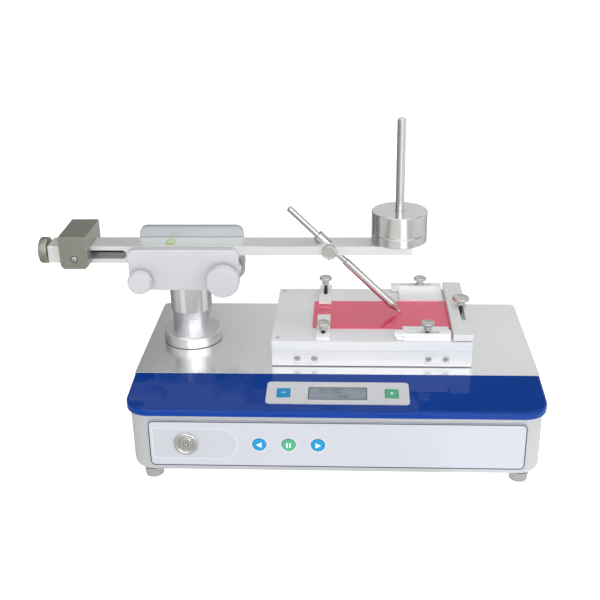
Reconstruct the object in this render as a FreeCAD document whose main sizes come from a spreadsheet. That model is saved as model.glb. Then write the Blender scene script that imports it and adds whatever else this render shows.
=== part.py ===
import FreeCAD, Part

import os
import re

import Sketcher
from FreeCAD import Placement, Rotation, Vector

# A mar resistance tester. A balanced beam carries weights over a stylus that leans at 45 degrees,
# and a motor slide draws the painted test panel along under the tip.
# Millimetres, +Z up, the front towards -Y, and the feet on z = 0.

SIZES = {
    # housing
    "base_width": 418.0, "base_depth": 245.0, "foot_height": 10.0, "foot_radius": 10.0,
    "foot_inset": 20.0, "foot_from_front": 14.0, "case_height": 67.0, "case_wall": 3.0, "case_inset": 3.5,
    "case_corner": 22.0, "case_bottom_round": 8.0, "floor_opening_margin": 34.0,
    "cover_height": 13.0, "cover_wall": 2.0, "cover_front_corner": 25.0, "cover_rear_corner": 6.0,
    "nose_depth": 66.0, "nose_drop": 6.0, "nose_round": 3.0, "nose_wall": 10.0, "seam_gap": 0.4,
    "bottom_thickness": 2.0,
    # front panel
    "fascia_width": 374.0, "fascia_height": 52.0, "fascia_thickness": 1.5, "fascia_corner": 5.0,
    "fascia_rise": 34.5, "fascia_shift": 1.5,
    "power_from_left": 37.5, "power_ring_radius": 12.5, "power_ring_thickness": 2.2,
    "power_cap_radius": 7.0, "power_cap_travel": 2.0, "power_body_radius": 9.5,
    "power_body_length": 24.0,
    "key_radius": 6.9, "key_proud": 1.2, "key_length": 6.0, "key_pitch": 29.2,
    "key_first": 111.0, "key_clearance": 0.25,
    # display on the sloping nose
    "display_width": 142.6, "display_depth": 37.5, "display_thickness": 1.4, "display_corner": 4.0,
    "display_from_seam": 16.8, "display_middle": 37.0, "display_shift": 3.0, "window_width": 57.5,
    "window_depth": 20.5, "nose_key_width": 13.0,
    "nose_key_depth": 14.6, "nose_key_reach": 54.0, "nose_key_proud": 0.9, "nose_key_travel": 0.6,
    # column and carriage
    "column_x": -160.0, "beam_line_y": 29.5, "flange_radius": 32.0, "flange_height": 13.0,
    "tube_radius": 21.0, "tube_height": 25.0, "groove_pitch": 3.2, "groove_width": 0.8,
    "groove_depth": 0.6, "post_radius": 22.5, "post_height": 28.5,
    "tongue_width": 44.0, "tongue_height": 16.0,
    "front_cheek_width": 118.0, "rear_cheek_width": 113.6, "front_cheek_shift": -2.3,
    "rear_cheek_shift": 2.2, "cheek_thickness": 8.0, "front_cheek_height": 46.0,
    "rear_cheek_height": 59.0, "cheek_corner": 8.0, "cheek_edge_round": 1.2, "cheek_gap": 1.0,
    "axle_radius": 4.0, "axle_rise": 36.0, "bearing_radius": 8.0, "bearing_width": 5.0,
    "run_clearance": 0.05,
    # lift cam and lock
    "lift_from_end": 16.0, "lift_rise": 14.5, "lift_shaft_radius": 4.0, "cam_eccentricity": 3.0,
    "cam_gap": 0.4, "cam_width": 16.0, "lift_knob_radius": 17.8, "lift_knob_width": 10.5,
    "lock_from_end": 13.2, "lock_rise": 13.0, "lock_stem_radius": 4.0, "lock_knob_radius": 13.0,
    "lock_knob_width": 10.5, "lock_seat": 4.0, "knob_gap": 1.0, "hub_radius": 8.0, "hub_width": 3.5,
    # beam
    "beam_width": 28.4, "beam_above_axle": 11.0, "beam_thin": 10.0, "beam_deep": 19.0,
    "beam_right": 240.5, "beam_left": -142.5, "deep_right": 55.0, "end_block_length": 6.6,
    "end_block_corner": 1.0,
    "slot_height": 9.6, "slot_right": -64.0, "slot_left": -137.0,
    "level_x": -18.0, "level_length": 10.0, "level_width": 13.0, "level_depth": 4.0,
    "level_proud": 0.8,
    # counterweight and its screw
    "tail_screw_radius": 3.0, "tail_knob_radius": 14.2, "tail_knob_width": 9.5, "tail_neck_radius": 6.0,
    "tail_neck": 1.9, "weight_x": -117.0, "weight_block_length": 29.6, "weight_block_width": 59.5,
    "weight_block_height": 35.5, "weight_block_drop": 1.0, "weight_block_chamfer": 3.2,
    "weight_slide_gap": 0.3, "tail_nut_length": 14.0, "cross_pin_radius": 4.0,
    # stylus
    "load_x": 226.6, "stylus_lead": 4.3, "stylus_radius": 3.3, "stylus_above": 54.0,
    "stylus_collar_radius": 6.0, "collar_sink": 4.0,
    "stylus_collar_length": 15.0, "holder_radius": 4.2,
    "holder_length": 64.0, "holder_taper": 17.0, "tip_radius": 1.0,
    "tip_length": 6.0, "tip_lift": 0.3, "stylus_screw_radius": 7.8, "stylus_screw_width": 6.0,
    "stylus_screw_stem": 2.0,
    # weights
    "disc_radius": 29.4, "lower_disc_height": 10.0, "main_weight_height": 22.5, "disc_gap": 0.3,
    "rod_radius": 4.5, "rod_height": 133.0, "rod_collar_radius": 9.0, "rod_collar_height": 2.6,
    "disc_bore_clearance": 0.4,
    # table
    "table_left": -67.0, "table_width": 208.5, "table_depth": 139.5, "table_centre_y": 30.0,
    "table_gap": 1.0, "apron_height": 17.0, "apron_wall": 10.0, "plate_height": 11.0, "plate_joint": 0.2,
    "table_screw_radius": 2.6, "pad_width": 25.0, "pad_height": 11.0, "pad_inset": 23.5,
    "pad_rise": 0.3, "screw_rise": 0.6, "plate_screw_rise": 0.3, "table_corner": 1.5,
    "panel_length": 150.0, "panel_width": 70.0, "panel_thickness": 1.2, "panel_corner": 4.0,
    "panel_left": 42.0, "panel_centre_y": 26.5,
    # clamps
    "strap_x": 54.0, "strap_width": 14.0, "strap_height": 5.0, "front_strap_length": 56.0,
    "rear_strap_length": 49.0,
    "strap_slot_radius": 2.4, "strap_slot_length": 20.0, "strap_slot_start": 8.0,
    "guide_from_bar": 2.5, "guide_length": 57.5, "guide_height": 8.4, "guide_rib": 9.0,
    "guide_flange": 3.0, "guide_overhang": 9.0, "guide_slot_start": 11.0, "guide_slot_length": 35.0,
    "guide_slot_radius": 2.3, "guide_plate": 3.4, "guide_pin_radius": 2.2, "clamp_clearance": 0.3,
    "bar_width": 20.0, "bar_height": 8.4, "bar_slot_x": 14.0, "bar_slot_length": 44.0,
    "bar_slot_radius": 2.5, "bar_screw_y": 32.0,
    "screw_stem_radius": 1.9, "screw_head_radius": 7.2, "screw_head_height": 3.6,
    "screw_collar_radius": 4.2, "screw_stand": 8.6, "raised_stand": 17.0, "guide_stand": 10.8,
    "bar_head_radius": 9.2, "screw_depth": 9.0,
    # slide under the lid
    "rail_spacing": 56.0, "rail_radius": 5.0, "rail_foot_width": 14.0, "rail_height": 30.0,
    "rail_length": 216.0, "carriage_width": 20.0, "carriage_length": 36.0, "carriage_height": 14.0,
    "bridge_thickness": 8.0, "riser_length": 30.0, "riser_width": 18.0,
    "lead_screw_radius": 4.0, "lead_screw_rise": 4.0, "nut_radius": 9.0, "nut_length": 24.0,
    "screw_overhang": 8.0, "rail_web": 5.0, "rail_foot_height": 4.0, "rail_slit": 6.4,
    "bridge_margin": 10.0, "post_width": 20.0, "post_depth": 8.0, "near_depth": 6.0,
    "motor_shaft_radius": 2.5, "lid_slot_gap": 2.0, "riser_seat": 4.0,
    "travel_left": 30.0, "travel_right": 45.0,
    "motor_size": 42.0, "motor_length": 40.0, "motor_gap": 6.0,
    "board_width": 160.0, "board_depth": 30.0, "board_thickness": 1.6, "board_drop": 22.0,
    "board_from_front": 34.0, "pillar_width": 8.0, "chip_width": 26.0, "relay_width": 18.0,
    "chip_height": 6.4, "blade_pitch": 7.0, "inlet_width": 48.0,
    "inlet_height": 26.0, "inlet_depth": 20.0, "inlet_flange": 1.6, "inlet_x": -120.0,
}

# Places that follow from the sizes, written with the names of the sizes and of each other.
PLACES = {
    "tail_end": "column_x + beam_left - end_block_length - tail_neck - tail_knob_width",
    "base_x": "(-(tail_end) - base_width / 2) / 2",
    "base_y": "0",
    "case_low": "foot_height",
    "cover_low": "foot_height + case_height",
    "lid_z": "cover_low + cover_height",
    "front_y": "-base_depth / 2",
    "rear_y": "base_depth / 2",
    "seam_y": "front_y + nose_depth",
    "case_front": "front_y + case_inset",
    "case_rear": "rear_y - case_inset",
    "case_left": "base_x - base_width / 2 + case_inset",
    "case_right": "base_x + base_width / 2 - case_inset",
    "case_floor": "case_low + case_wall",
    "column_at": "base_x + column_x",
    "fascia_x": "base_x + fascia_shift",
    "fascia_z": "case_low + fascia_rise",
    "fascia_face": "case_front - fascia_thickness",
    "power_x": "fascia_x - fascia_width / 2 + power_from_left",
    "post_low": "lid_z + flange_height + tube_height",
    "carriage_low": "post_low + post_height",
    "beam_pivot_z": "carriage_low + axle_rise",
    "beam_top": "beam_pivot_z + beam_above_axle",
    "beam_low": "beam_top - beam_deep",
    "beam_front": "beam_line_y - beam_width / 2",
    "beam_rear": "beam_line_y + beam_width / 2",
    "cheek_front_in": "beam_front - cheek_gap",
    "cheek_rear_in": "beam_rear + cheek_gap",
    "cheek_front_out": "cheek_front_in - cheek_thickness",
    "cheek_rear_out": "cheek_rear_in + cheek_thickness",
    "lift_at": "column_at + front_cheek_shift + front_cheek_width / 2 - lift_from_end",
    "lift_z": "carriage_low + lift_rise",
    "lock_at": "column_at + front_cheek_shift - front_cheek_width / 2 + lock_from_end",
    "lock_z": "carriage_low + lock_rise",
    "cam_reach": "beam_low - lift_z - cam_gap",
    "slot_z": "beam_top - beam_deep / 2",
    "tail_x": "column_at + beam_left - end_block_length",
    "weight_at": "column_at + weight_x",
    "load_at": "column_at + load_x",
    "tip_at": "load_at + stylus_lead",
    "table_x": "base_x + table_left",
    "table_mid": "table_x + table_width / 2",
    "table_front": "table_centre_y - table_depth / 2",
    "table_rear": "table_centre_y + table_depth / 2",
    "apron_low": "lid_z + table_gap",
    "plate_low": "apron_low + apron_height + plate_joint",
    "table_top": "plate_low + plate_height",
    "panel_top": "table_top + panel_thickness",
    "panel_front": "panel_centre_y - panel_width / 2",
    "panel_rear": "panel_centre_y + panel_width / 2",
    "disc_low": "beam_top + rod_collar_height",
    "main_low": "disc_low + lower_disc_height + disc_gap",
    "rail_top": "case_floor + bottom_thickness + rail_height",
    "bridge_low": "rail_top + carriage_height - rail_radius",
    "screw_z": "rail_top - rail_radius + lead_screw_rise",
    "slide_floor": "case_floor + bottom_thickness",
    "block_low": "bridge_low - carriage_height",
    "screw_start": "table_mid - rail_length / 2 - screw_overhang",
    "motor_left": "screw_start - motor_gap - motor_length",
    "board_low": "cover_low - board_drop",
    "board_front": "case_front + board_from_front",
    "bar_left": "table_x + table_width - bar_width",
}

doc = FreeCAD.newDocument("mar_resistance_tester")
sheet = doc.addObject("Spreadsheet::Sheet", "sizes")
for row, (name, value) in enumerate(SIZES.items(), start=1):
    sheet.set(f"A{row}", name)
    sheet.set(f"B{row}", str(value))
    sheet.setAlias(f"B{row}", name)
doc.recompute()

WORD = re.compile(r"[a-z][a-z_]*[a-z]")
PLANES = {"XY": "XY_Plane", "XZ": "XZ_Plane", "YZ": "YZ_Plane"}
NODES = []


def spelled(text):
    """An expression in which each place is written out down to the cells of the sheet."""
    def swap(found):
        word = found.group(0)
        if word in PLACES:
            return "(" + spelled(PLACES[word]) + ")"
        return "sizes." + word if word in SIZES else word
    return WORD.sub(swap, str(text))


def bind(target, field, text):
    target.setExpression(field, spelled(text))


def place(target, x=None, y=None, z=None, turn=None):
    """Turns a sub-part and puts its own origin at x, y, z."""
    if turn is not None:
        target.Placement = Placement(Vector(), turn)
    for axis, text in (("x", x), ("y", y), ("z", z)):
        if text is not None:
            bind(target, f".Placement.Base.{axis}", text)


def node(target, label):
    target.Label = label
    NODES.append(target)
    return target


def new_body(label):
    return node(doc.addObject("PartDesign::Body", label), label)


def new_sketch(body, plane, level):
    """A sketch on one of the body's own origin planes, moved along that plane's normal."""
    sketch = body.newObject("Sketcher::SketchObject", body.Name + "_sketch")
    own_plane = next(f for f in body.Origin.OriginFeatures if f.Role == PLANES[plane])
    sketch.AttachmentSupport = [(own_plane, "")]
    sketch.MapMode = "FlatFace"
    bind(sketch, ".AttachmentOffset.Base.z", level)
    return sketch


def pin_point(sketch, geometry, point, x, y):
    """Fixes one point of a sketch by its distances from the sketch's origin."""
    for kind, text in (("DistanceX", x), ("DistanceY", y)):
        here = sketch.addConstraint(Sketcher.Constraint(kind, -1, 1, geometry, point, 1.0))
        sketch.setExpression(f"Constraints[{here}]", spelled(text))


def draw_outline(sketch, corners):
    """A closed outline of straight lines through the corners."""
    spot = [Vector(10 * k, 7 * k * k, 0) for k in range(len(corners))]
    first = sketch.GeometryCount
    for k in range(len(corners)):
        sketch.addGeometry(Part.LineSegment(spot[k], spot[(k + 1) % len(spot)]), False)
    for k in range(len(corners)):
        after = first + (k + 1) % len(corners)
        sketch.addConstraint(Sketcher.Constraint("Coincident", first + k, 2, after, 1))
    for k, (x, y) in enumerate(corners):
        pin_point(sketch, first + k, 1, x, y)


def draw_box(sketch, x0, x1, y0, y1):
    draw_outline(sketch, [(x0, y0), (x1, y0), (x1, y1), (x0, y1)])


def draw_circle(sketch, x, y, radius):
    ring = sketch.addGeometry(Part.Circle(Vector(0, 0, 0), Vector(0, 0, 1), 1.0), False)
    here = sketch.addConstraint(Sketcher.Constraint("Radius", ring, 1.0))
    sketch.setExpression(f"Constraints[{here}]", spelled(radius))
    pin_point(sketch, ring, 3, x, y)


def extrude(body, plane, start, end, draw, cut=False):
    """A pad or a pocket between two levels along the world axis that is normal to the plane."""
    level = f"-({end})" if plane == "XZ" else start
    sketch = new_sketch(body, plane, level)
    draw(sketch)
    doc.recompute()
    before = body.Shape.Volume if cut else 0.0
    feature = body.newObject("PartDesign::Pocket" if cut else "PartDesign::Pad", body.Name + "_form")
    feature.Profile = sketch
    if cut:
        feature.Reversed = True
    bind(feature, "Length", f"({end}) - ({start})")
    doc.recompute()
    check_state(feature)
    if cut and not body.Shape.Volume < before - 1e-6:
        raise RuntimeError(body.Label + ": a pocket cuts nothing")
    return feature


def check_state(feature):
    if "Invalid" in feature.State or "Error" in feature.State or feature.Shape.isNull():
        raise RuntimeError(f"{feature.Label} is {feature.State}")


def slot_cut(body, plane, start, end, x0, x1, y, radius, upright=False):
    """A slot with round ends, its centre line from x0 to x1 at y, or the other way up."""
    def middle(sketch):
        if upright:
            draw_box(sketch, f"{y} - {radius}", f"{y} + {radius}", x0, x1)
        else:
            draw_box(sketch, x0, x1, f"{y} - {radius}", f"{y} + {radius}")
    extrude(body, plane, start, end, middle, cut=True)
    for x in (x0, x1):
        centre = (y, x) if upright else (x, y)
        extrude(body, plane, start, end, lambda sketch: draw_circle(sketch, *centre, radius), cut=True)


def soften(body, kind, size, wanted):
    """Rounds or chamfers the edges of the body that the test picks."""
    base = body.Tip
    names = [f"Edge{k}" for k, edge in enumerate(base.Shape.Edges, start=1) if wanted(edge)]
    if not names:
        raise RuntimeError(body.Label + ": no edge to soften")
    feature = body.newObject("PartDesign::" + kind, body.Name + "_edge")
    feature.Base = (base, names)
    bind(feature, "Radius" if kind == "Fillet" else "Size", size)
    doc.recompute()
    check_state(feature)
    return feature


def runs_along(edge, axis):
    """Whether an edge is straight and parallel to an axis."""
    if edge.Curve.TypeId != "Part::GeomLine":
        return False
    return abs(edge.tangentAt(edge.FirstParameter).dot(axis)) > 0.999


X, Y, Z = Vector(1, 0, 0), Vector(0, 1, 0), Vector(0, 0, 1)
FRONTWARDS = Rotation(X, 90)
REARWARDS = Rotation(X, -90)
LEFTWARDS = Rotation(Y, -90)


def turned(label, profile, x, y, z, turn=None):
    """A turned piece: radius and height pairs spun about the height axis."""
    body = new_body(label)
    sketch = new_sketch(body, "XZ", "0")
    draw_outline(sketch, profile)
    doc.recompute()
    spin = body.newObject("PartDesign::Revolution", label + "_turning")
    spin.Profile = sketch
    spin.ReferenceAxis = (sketch, ["V_Axis"])
    spin.Angle = 360
    doc.recompute()
    place(body, x, y, z, turn)
    return body


def box(name, x0, x1, y0, y1, z0, z1):
    solid = doc.addObject("Part::Box", name)
    for field, low, high in (("Length", x0, x1), ("Width", y0, y1), ("Height", z0, z1)):
        bind(solid, field, f"({high}) - ({low})")
    place(solid, x0, y0, z0)
    return solid


def cylinder(name, x, y, z, radius, height, turn=None):
    solid = doc.addObject("Part::Cylinder", name)
    bind(solid, "Radius", radius)
    bind(solid, "Height", height)
    place(solid, x, y, z, turn)
    return solid


def joined(name, pieces):
    whole = doc.addObject("Part::MultiFuse", name)
    whole.Shapes = pieces
    return whole


def cut_from(name, base, tools):
    result = doc.addObject("Part::Cut", name)
    result.Base = base
    result.Tool = tools[0] if len(tools) == 1 else joined(name + "_tools", tools)
    return result


# Housing: a rounded case on four feet under a grey lid and a sloping blue nose.

def rounded_block(name, x0, x1, y0, y1, z0, z1, radius):
    """A block with rounded upright edges, as a tool for cutting."""
    body = doc.addObject("PartDesign::Body", name)
    extrude(body, "XY", z0, z1, lambda s: draw_box(s, x0, x1, y0, y1))
    soften(body, "Fillet", radius, lambda e: runs_along(e, Z))
    return body


def make_case():
    outer = doc.addObject("PartDesign::Body", "case_outer")
    extrude(outer, "XY", "case_low", "cover_low",
            lambda s: draw_box(s, "case_left", "case_right", "case_front", "case_rear"))
    soften(outer, "Fillet", "case_corner", lambda e: runs_along(e, Z))
    soften(outer, "Fillet", "case_bottom_round",
           lambda e: e.BoundBox.ZMax < outer.Shape.BoundBox.ZMin + 0.01)
    # Holes for the power button and the keys in front, and for the power inlet behind.
    front = ("case_front - 1", "case_front + case_wall + 1")
    extrude(outer, "XZ", *front,
            lambda s: draw_circle(s, "power_x", "fascia_z", "power_body_radius + key_clearance"), cut=True)
    for count in range(3):
        extrude(outer, "XZ", *front,
                lambda s: draw_circle(s, key_x(count), "fascia_z", "key_radius + key_clearance"), cut=True)
    extrude(outer, "XZ", "case_rear - case_wall - 1", "case_rear + 1",
            lambda s: draw_box(s, "base_x + inlet_x - inlet_width / 2 + 4",
                               "base_x + inlet_x + inlet_width / 2 - 4",
                               "fascia_z - inlet_height / 2", "fascia_z + inlet_height / 2"), cut=True)
    cavity = rounded_block("case_cavity", "case_left + case_wall", "case_right - case_wall",
                           "case_front + case_wall", "case_rear - case_wall",
                           "case_floor", "cover_low + 1", "case_corner - case_wall")
    margin = "floor_opening_margin"
    opening = rounded_block("floor_opening", f"case_left + {margin}", f"case_right - {margin}",
                            f"case_front + {margin}", f"case_rear - {margin}",
                            "case_low - 1", "case_floor + 1", "case_bottom_round")
    node(cut_from("case_form", outer, [cavity, opening]), "case_shell")


def key_x(count):
    return f"fascia_x - fascia_width / 2 + key_first + {count} * key_pitch"


def make_bottom():
    inset = "(case_wall + seam_gap)"
    body = new_body("bottom_plate")
    extrude(body, "XY", "case_floor", "case_floor + bottom_thickness",
            lambda s: draw_box(s, f"case_left + {inset}", f"case_right - {inset}",
                               f"case_front + {inset}", f"case_rear - {inset}"))
    soften(body, "Fillet", "case_corner - case_wall - seam_gap", lambda e: runs_along(e, Z))


def make_lid():
    body = new_body("top_cover")
    left, right = "base_x - base_width / 2", "base_x + base_width / 2"
    extrude(body, "XY", "cover_low", "lid_z",
            lambda s: draw_box(s, left, right, "seam_y + seam_gap / 2", "rear_y"))
    rear = body.Shape.BoundBox.YMax
    soften(body, "Fillet", "cover_rear_corner",
           lambda e: runs_along(e, Z) and e.BoundBox.YMin > rear - 0.01)
    extrude(body, "XY", "cover_low - 1", "lid_z - cover_wall",
            lambda s: draw_box(s, f"{left} + case_inset + case_wall", f"{right} - case_inset - case_wall",
                               "seam_y - 1", "rear_y - case_inset - case_wall"), cut=True)
    # The riser of the table slide comes up through this slot, which the table covers.
    extrude(body, "XY", "lid_z - cover_wall - 1", "lid_z + 1",
            lambda s: draw_box(s, "table_mid - riser_length / 2 - travel_left - lid_slot_gap",
                               "table_mid + riser_length / 2 + travel_right + lid_slot_gap",
                               "table_centre_y - riser_width / 2 - lid_slot_gap",
                               "table_centre_y + riser_width / 2 + lid_slot_gap"), cut=True)


def make_nose():
    body = new_body("nose_cover")
    left, right = "base_x - base_width / 2", "base_x + base_width / 2"
    back = "seam_y - seam_gap / 2"
    extrude(body, "YZ", left, right,
            lambda s: draw_outline(s, [("front_y", "cover_low"), (back, "cover_low"), (back, "lid_z"),
                                       ("front_y", "lid_z - nose_drop")]))
    front = body.Shape.BoundBox.YMin
    soften(body, "Fillet", "cover_front_corner",
           lambda e: runs_along(e, Z) and e.BoundBox.YMax < front + 0.01)
    low, rear = body.Shape.BoundBox.ZMin, body.Shape.BoundBox.YMax
    soften(body, "Fillet", "nose_round",
           lambda e: e.BoundBox.ZMin > low + 0.01 and e.BoundBox.YMin < rear - 1 and not runs_along(e, Z))
    extrude(body, "YZ", f"{left} + nose_wall", f"{right} - nose_wall",
            lambda s: draw_outline(s, [("front_y + nose_wall", "cover_low - 1"),
                                       (f"{back} + 1", "cover_low - 1"),
                                       (f"{back} + 1", "lid_z - cover_wall"),
                                       ("front_y + nose_wall", "lid_z - nose_drop - cover_wall")]), cut=True)


def make_feet():
    feet = []
    for side, x in (("left", "case_left + foot_inset"), ("right", "case_right - foot_inset")):
        for end, y in (("front", "case_front + foot_from_front"), ("rear", "case_rear - foot_from_front")):
            foot = doc.addObject("Part::Cone", f"{end}_{side}_foot")
            bind(foot, "Radius1", "foot_radius * 0.9")
            bind(foot, "Radius2", "foot_radius")
            bind(foot, "Height", "foot_height")
            place(foot, x, y, "0")
            feet.append(foot)
    node(joined("feet_group", feet), "feet")


# Front panel, power button and keys.

def make_fascia():
    body = new_body("fascia_plate")
    extrude(body, "XZ", "fascia_face", "case_front",
            lambda s: draw_box(s, "fascia_x - fascia_width / 2", "fascia_x + fascia_width / 2",
                               "fascia_z - fascia_height / 2", "fascia_z + fascia_height / 2"))
    soften(body, "Fillet", "fascia_corner", lambda e: runs_along(e, Y))
    extrude(body, "XZ", "fascia_face - 1", "case_front + 1",
            lambda s: draw_circle(s, "power_x", "fascia_z", "power_body_radius + key_clearance"), cut=True)
    for count in range(3):
        extrude(body, "XZ", "fascia_face - 1", "case_front + 1",
                lambda s: draw_circle(s, key_x(count), "fascia_z", "key_radius + key_clearance"), cut=True)


def make_power_button():
    ring = "power_ring_thickness"
    bore = "power_cap_radius + key_clearance"
    turned("power_button_body",
           [(bore, ring), (bore, "-power_cap_travel - 6"), ("0", "-power_cap_travel - 6"),
            ("0", "-power_body_length"), ("power_body_radius", "-power_body_length"),
            ("power_body_radius", "0"), ("power_ring_radius", "0"),
            ("power_ring_radius", f"{ring} * 0.5"), ("power_ring_radius - 1.2", ring)],
           "power_x", "fascia_face", "fascia_z", FRONTWARDS)
    turned("power_button_cap",
           [("0", f"{ring} - 0.2"), ("0", "-5"), ("power_cap_radius", "-5"),
            ("power_cap_radius", f"{ring} - 0.6"), ("power_cap_radius - 0.6", f"{ring} - 0.2")],
           "power_x", "fascia_face", "fascia_z", FRONTWARDS)


def make_round_keys():
    for count, label in enumerate(("reverse_key", "pause_key", "forward_key")):
        turned(label,
               [("0", "key_proud"), ("0", "key_proud - key_length"), ("key_radius", "key_proud - key_length"),
                ("key_radius", "key_proud - 0.5"), ("key_radius - 0.5", "key_proud")],
               key_x(count), "fascia_face", "fascia_z", FRONTWARDS)


# The display plate and its two keys lie along the slope of the nose.

def tilted(body):
    """Moves a piece drawn on a level plane onto the sloping nose: y is measured down the slope."""
    slope = "atan(nose_drop / nose_depth)"
    body.Placement = Placement(Vector(), Rotation(X, 1))
    bind(body, ".Placement.Rotation.Angle", slope)
    place(body, "base_x + display_shift", "seam_y", "lid_z")


def make_display():
    key_gap = "key_clearance"
    top = "display_from_seam"
    plate = new_body("display_plate")
    extrude(plate, "XY", "0.02", "display_thickness",
            lambda s: draw_box(s, "-display_width / 2", "display_width / 2",
                               f"-{top} - display_depth", f"-{top}"))
    soften(plate, "Fillet", "display_corner", lambda e: runs_along(e, Z))
    middle = "-display_middle"
    extrude(plate, "XY", "-1", "display_thickness + 1",
            lambda s: draw_box(s, "-window_width / 2", "window_width / 2",
                               f"{middle} - window_depth / 2", f"{middle} + window_depth / 2"), cut=True)
    for side in (-1, 1):
        extrude(plate, "XY", "-1", "display_thickness + 1",
                lambda s: draw_box(s, f"{side} * nose_key_reach - nose_key_width / 2 - {key_gap}",
                                   f"{side} * nose_key_reach + nose_key_width / 2 + {key_gap}",
                                   f"{middle} - nose_key_depth / 2 - {key_gap}",
                                   f"{middle} + nose_key_depth / 2 + {key_gap}"), cut=True)
    tilted(plate)
    window = new_body("display_window")
    extrude(window, "XY", "0.02", "display_thickness - 0.4",
            lambda s: draw_box(s, "-window_width / 2 + 0.1", "window_width / 2 - 0.1",
                               f"{middle} - window_depth / 2 + 0.1",
                               f"{middle} + window_depth / 2 - 0.1"))
    tilted(window)
    for label, side in (("minus_key", -1), ("plus_key", 1)):
        key = new_body(label)
        extrude(key, "XY", "nose_key_travel + 0.05", "display_thickness + nose_key_proud",
                lambda s: draw_box(s, f"{side} * nose_key_reach - nose_key_width / 2",
                                   f"{side} * nose_key_reach + nose_key_width / 2",
                                   f"{middle} - nose_key_depth / 2", f"{middle} + nose_key_depth / 2"))
        soften(key, "Fillet", "key_proud", lambda e: runs_along(e, Z))
        tilted(key)


# Column: a flanged tube bolted to the lid, a polished post and its tongue between two cheeks.

def make_column():
    top = "flange_height + tube_height"
    tube = []
    for drop in ("2 * groove_pitch", "groove_pitch"):
        tube += [("tube_radius", f"{top} - {drop} - groove_width"),
                 ("tube_radius - groove_depth", f"{top} - {drop} - groove_width"),
                 ("tube_radius - groove_depth", f"{top} - {drop}"), ("tube_radius", f"{top} - {drop}")]
    turned("column_socket",
           [("0", "0"), ("flange_radius", "0"), ("flange_radius", "flange_height - 1.5"),
            ("flange_radius - 1.5", "flange_height"), ("tube_radius", "flange_height")] + tube
           + [("tube_radius", top), ("0", top)],
           "column_at", "beam_line_y", "lid_z")
    body = turned("column_post",
                  [("0", "0"), ("post_radius - 0.6", "0"), ("post_radius", "0.6"),
                   ("post_radius", "post_height"), ("0", "post_height")],
                  "column_at", "beam_line_y", "post_low")
    extrude(body, "XY", "post_height", "post_height + tongue_height",
            lambda s: draw_box(s, "-tongue_width / 2", "tongue_width / 2",
                               "-beam_width / 2 - cheek_gap", "beam_width / 2 + cheek_gap"))


def make_cheek(label, inner, outer, inwards):
    """A rounded plate with a blind bearing pocket, a through hole for the lift shaft and one for the lock."""
    body = new_body(label)
    middle, half = f"column_at + {label}_shift", f"{label}_width / 2"
    low, high = (outer, inner) if inwards > 0 else (inner, outer)
    extrude(body, "XZ", low, high,
            lambda s: draw_box(s, f"{middle} - {half}", f"{middle} + {half}", "carriage_low",
                               f"carriage_low + {label}_height"))
    soften(body, "Fillet", "cheek_corner", lambda e: runs_along(e, Y))
    outer_y = body.Shape.BoundBox.YMin if inwards > 0 else body.Shape.BoundBox.YMax
    soften(body, "Fillet", "cheek_edge_round",
           lambda e: abs(e.BoundBox.YMin - outer_y) < 0.01 and abs(e.BoundBox.YMax - outer_y) < 0.01)
    holes = [("column_at", "beam_pivot_z", "bearing_radius", "bearing_width + clamp_clearance"),
             ("lift_at", "lift_z", "lift_shaft_radius + run_clearance", "cheek_thickness + 1"),
             ("lock_at", "lock_z", "lock_stem_radius + run_clearance",
              "cheek_thickness + 1" if inwards > 0 else "lock_seat + 1")]
    for x, z, radius, depth in holes:
        start, end = (f"{inner} - ({depth})", f"{inner} + 1") if inwards > 0 else (f"{inner} - 1",
                                                                                  f"{inner} + {depth}")
        extrude(body, "XZ", start, end, lambda s: draw_circle(s, x, z, radius), cut=True)


def make_pivot():
    axle = cylinder("axle_rod", "column_at", "cheek_front_in - bearing_width", "beam_pivot_z",
                    "axle_radius", "cheek_rear_in - cheek_front_in + 2 * bearing_width", REARWARDS)
    node(axle, "pivot_axle")
    rings = []
    for side, y in (("front", "cheek_front_in - bearing_width"), ("rear", "cheek_rear_in")):
        outer = cylinder(f"{side}_race", "column_at", y, "beam_pivot_z",
                         "bearing_radius", "bearing_width", REARWARDS)
        inner = cylinder(f"{side}_race_bore", "column_at", f"{y} - 1", "beam_pivot_z",
                         "axle_radius + run_clearance", "bearing_width + 2", REARWARDS)
        rings.append(cut_from(f"{side}_bearing", outer, [inner]))
    node(joined("bearing_pair", rings), "pivot_bearings")


def knob_profile(radius, width):
    """A plain knob with a turned groove near its face and softened rims, on a narrow hub."""
    return [("0", "-hub_width"), ("hub_radius", "-hub_width"), ("hub_radius", "0"),
            (f"{radius} - 1", "0"), (radius, "1"), (radius, f"{width} * 0.62"),
            (f"{radius} - 0.9", f"{width} * 0.68"), (f"{radius} - 0.9", f"{width} - 1"),
            (f"{radius} - 1.9", width), ("0", width)]


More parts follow.
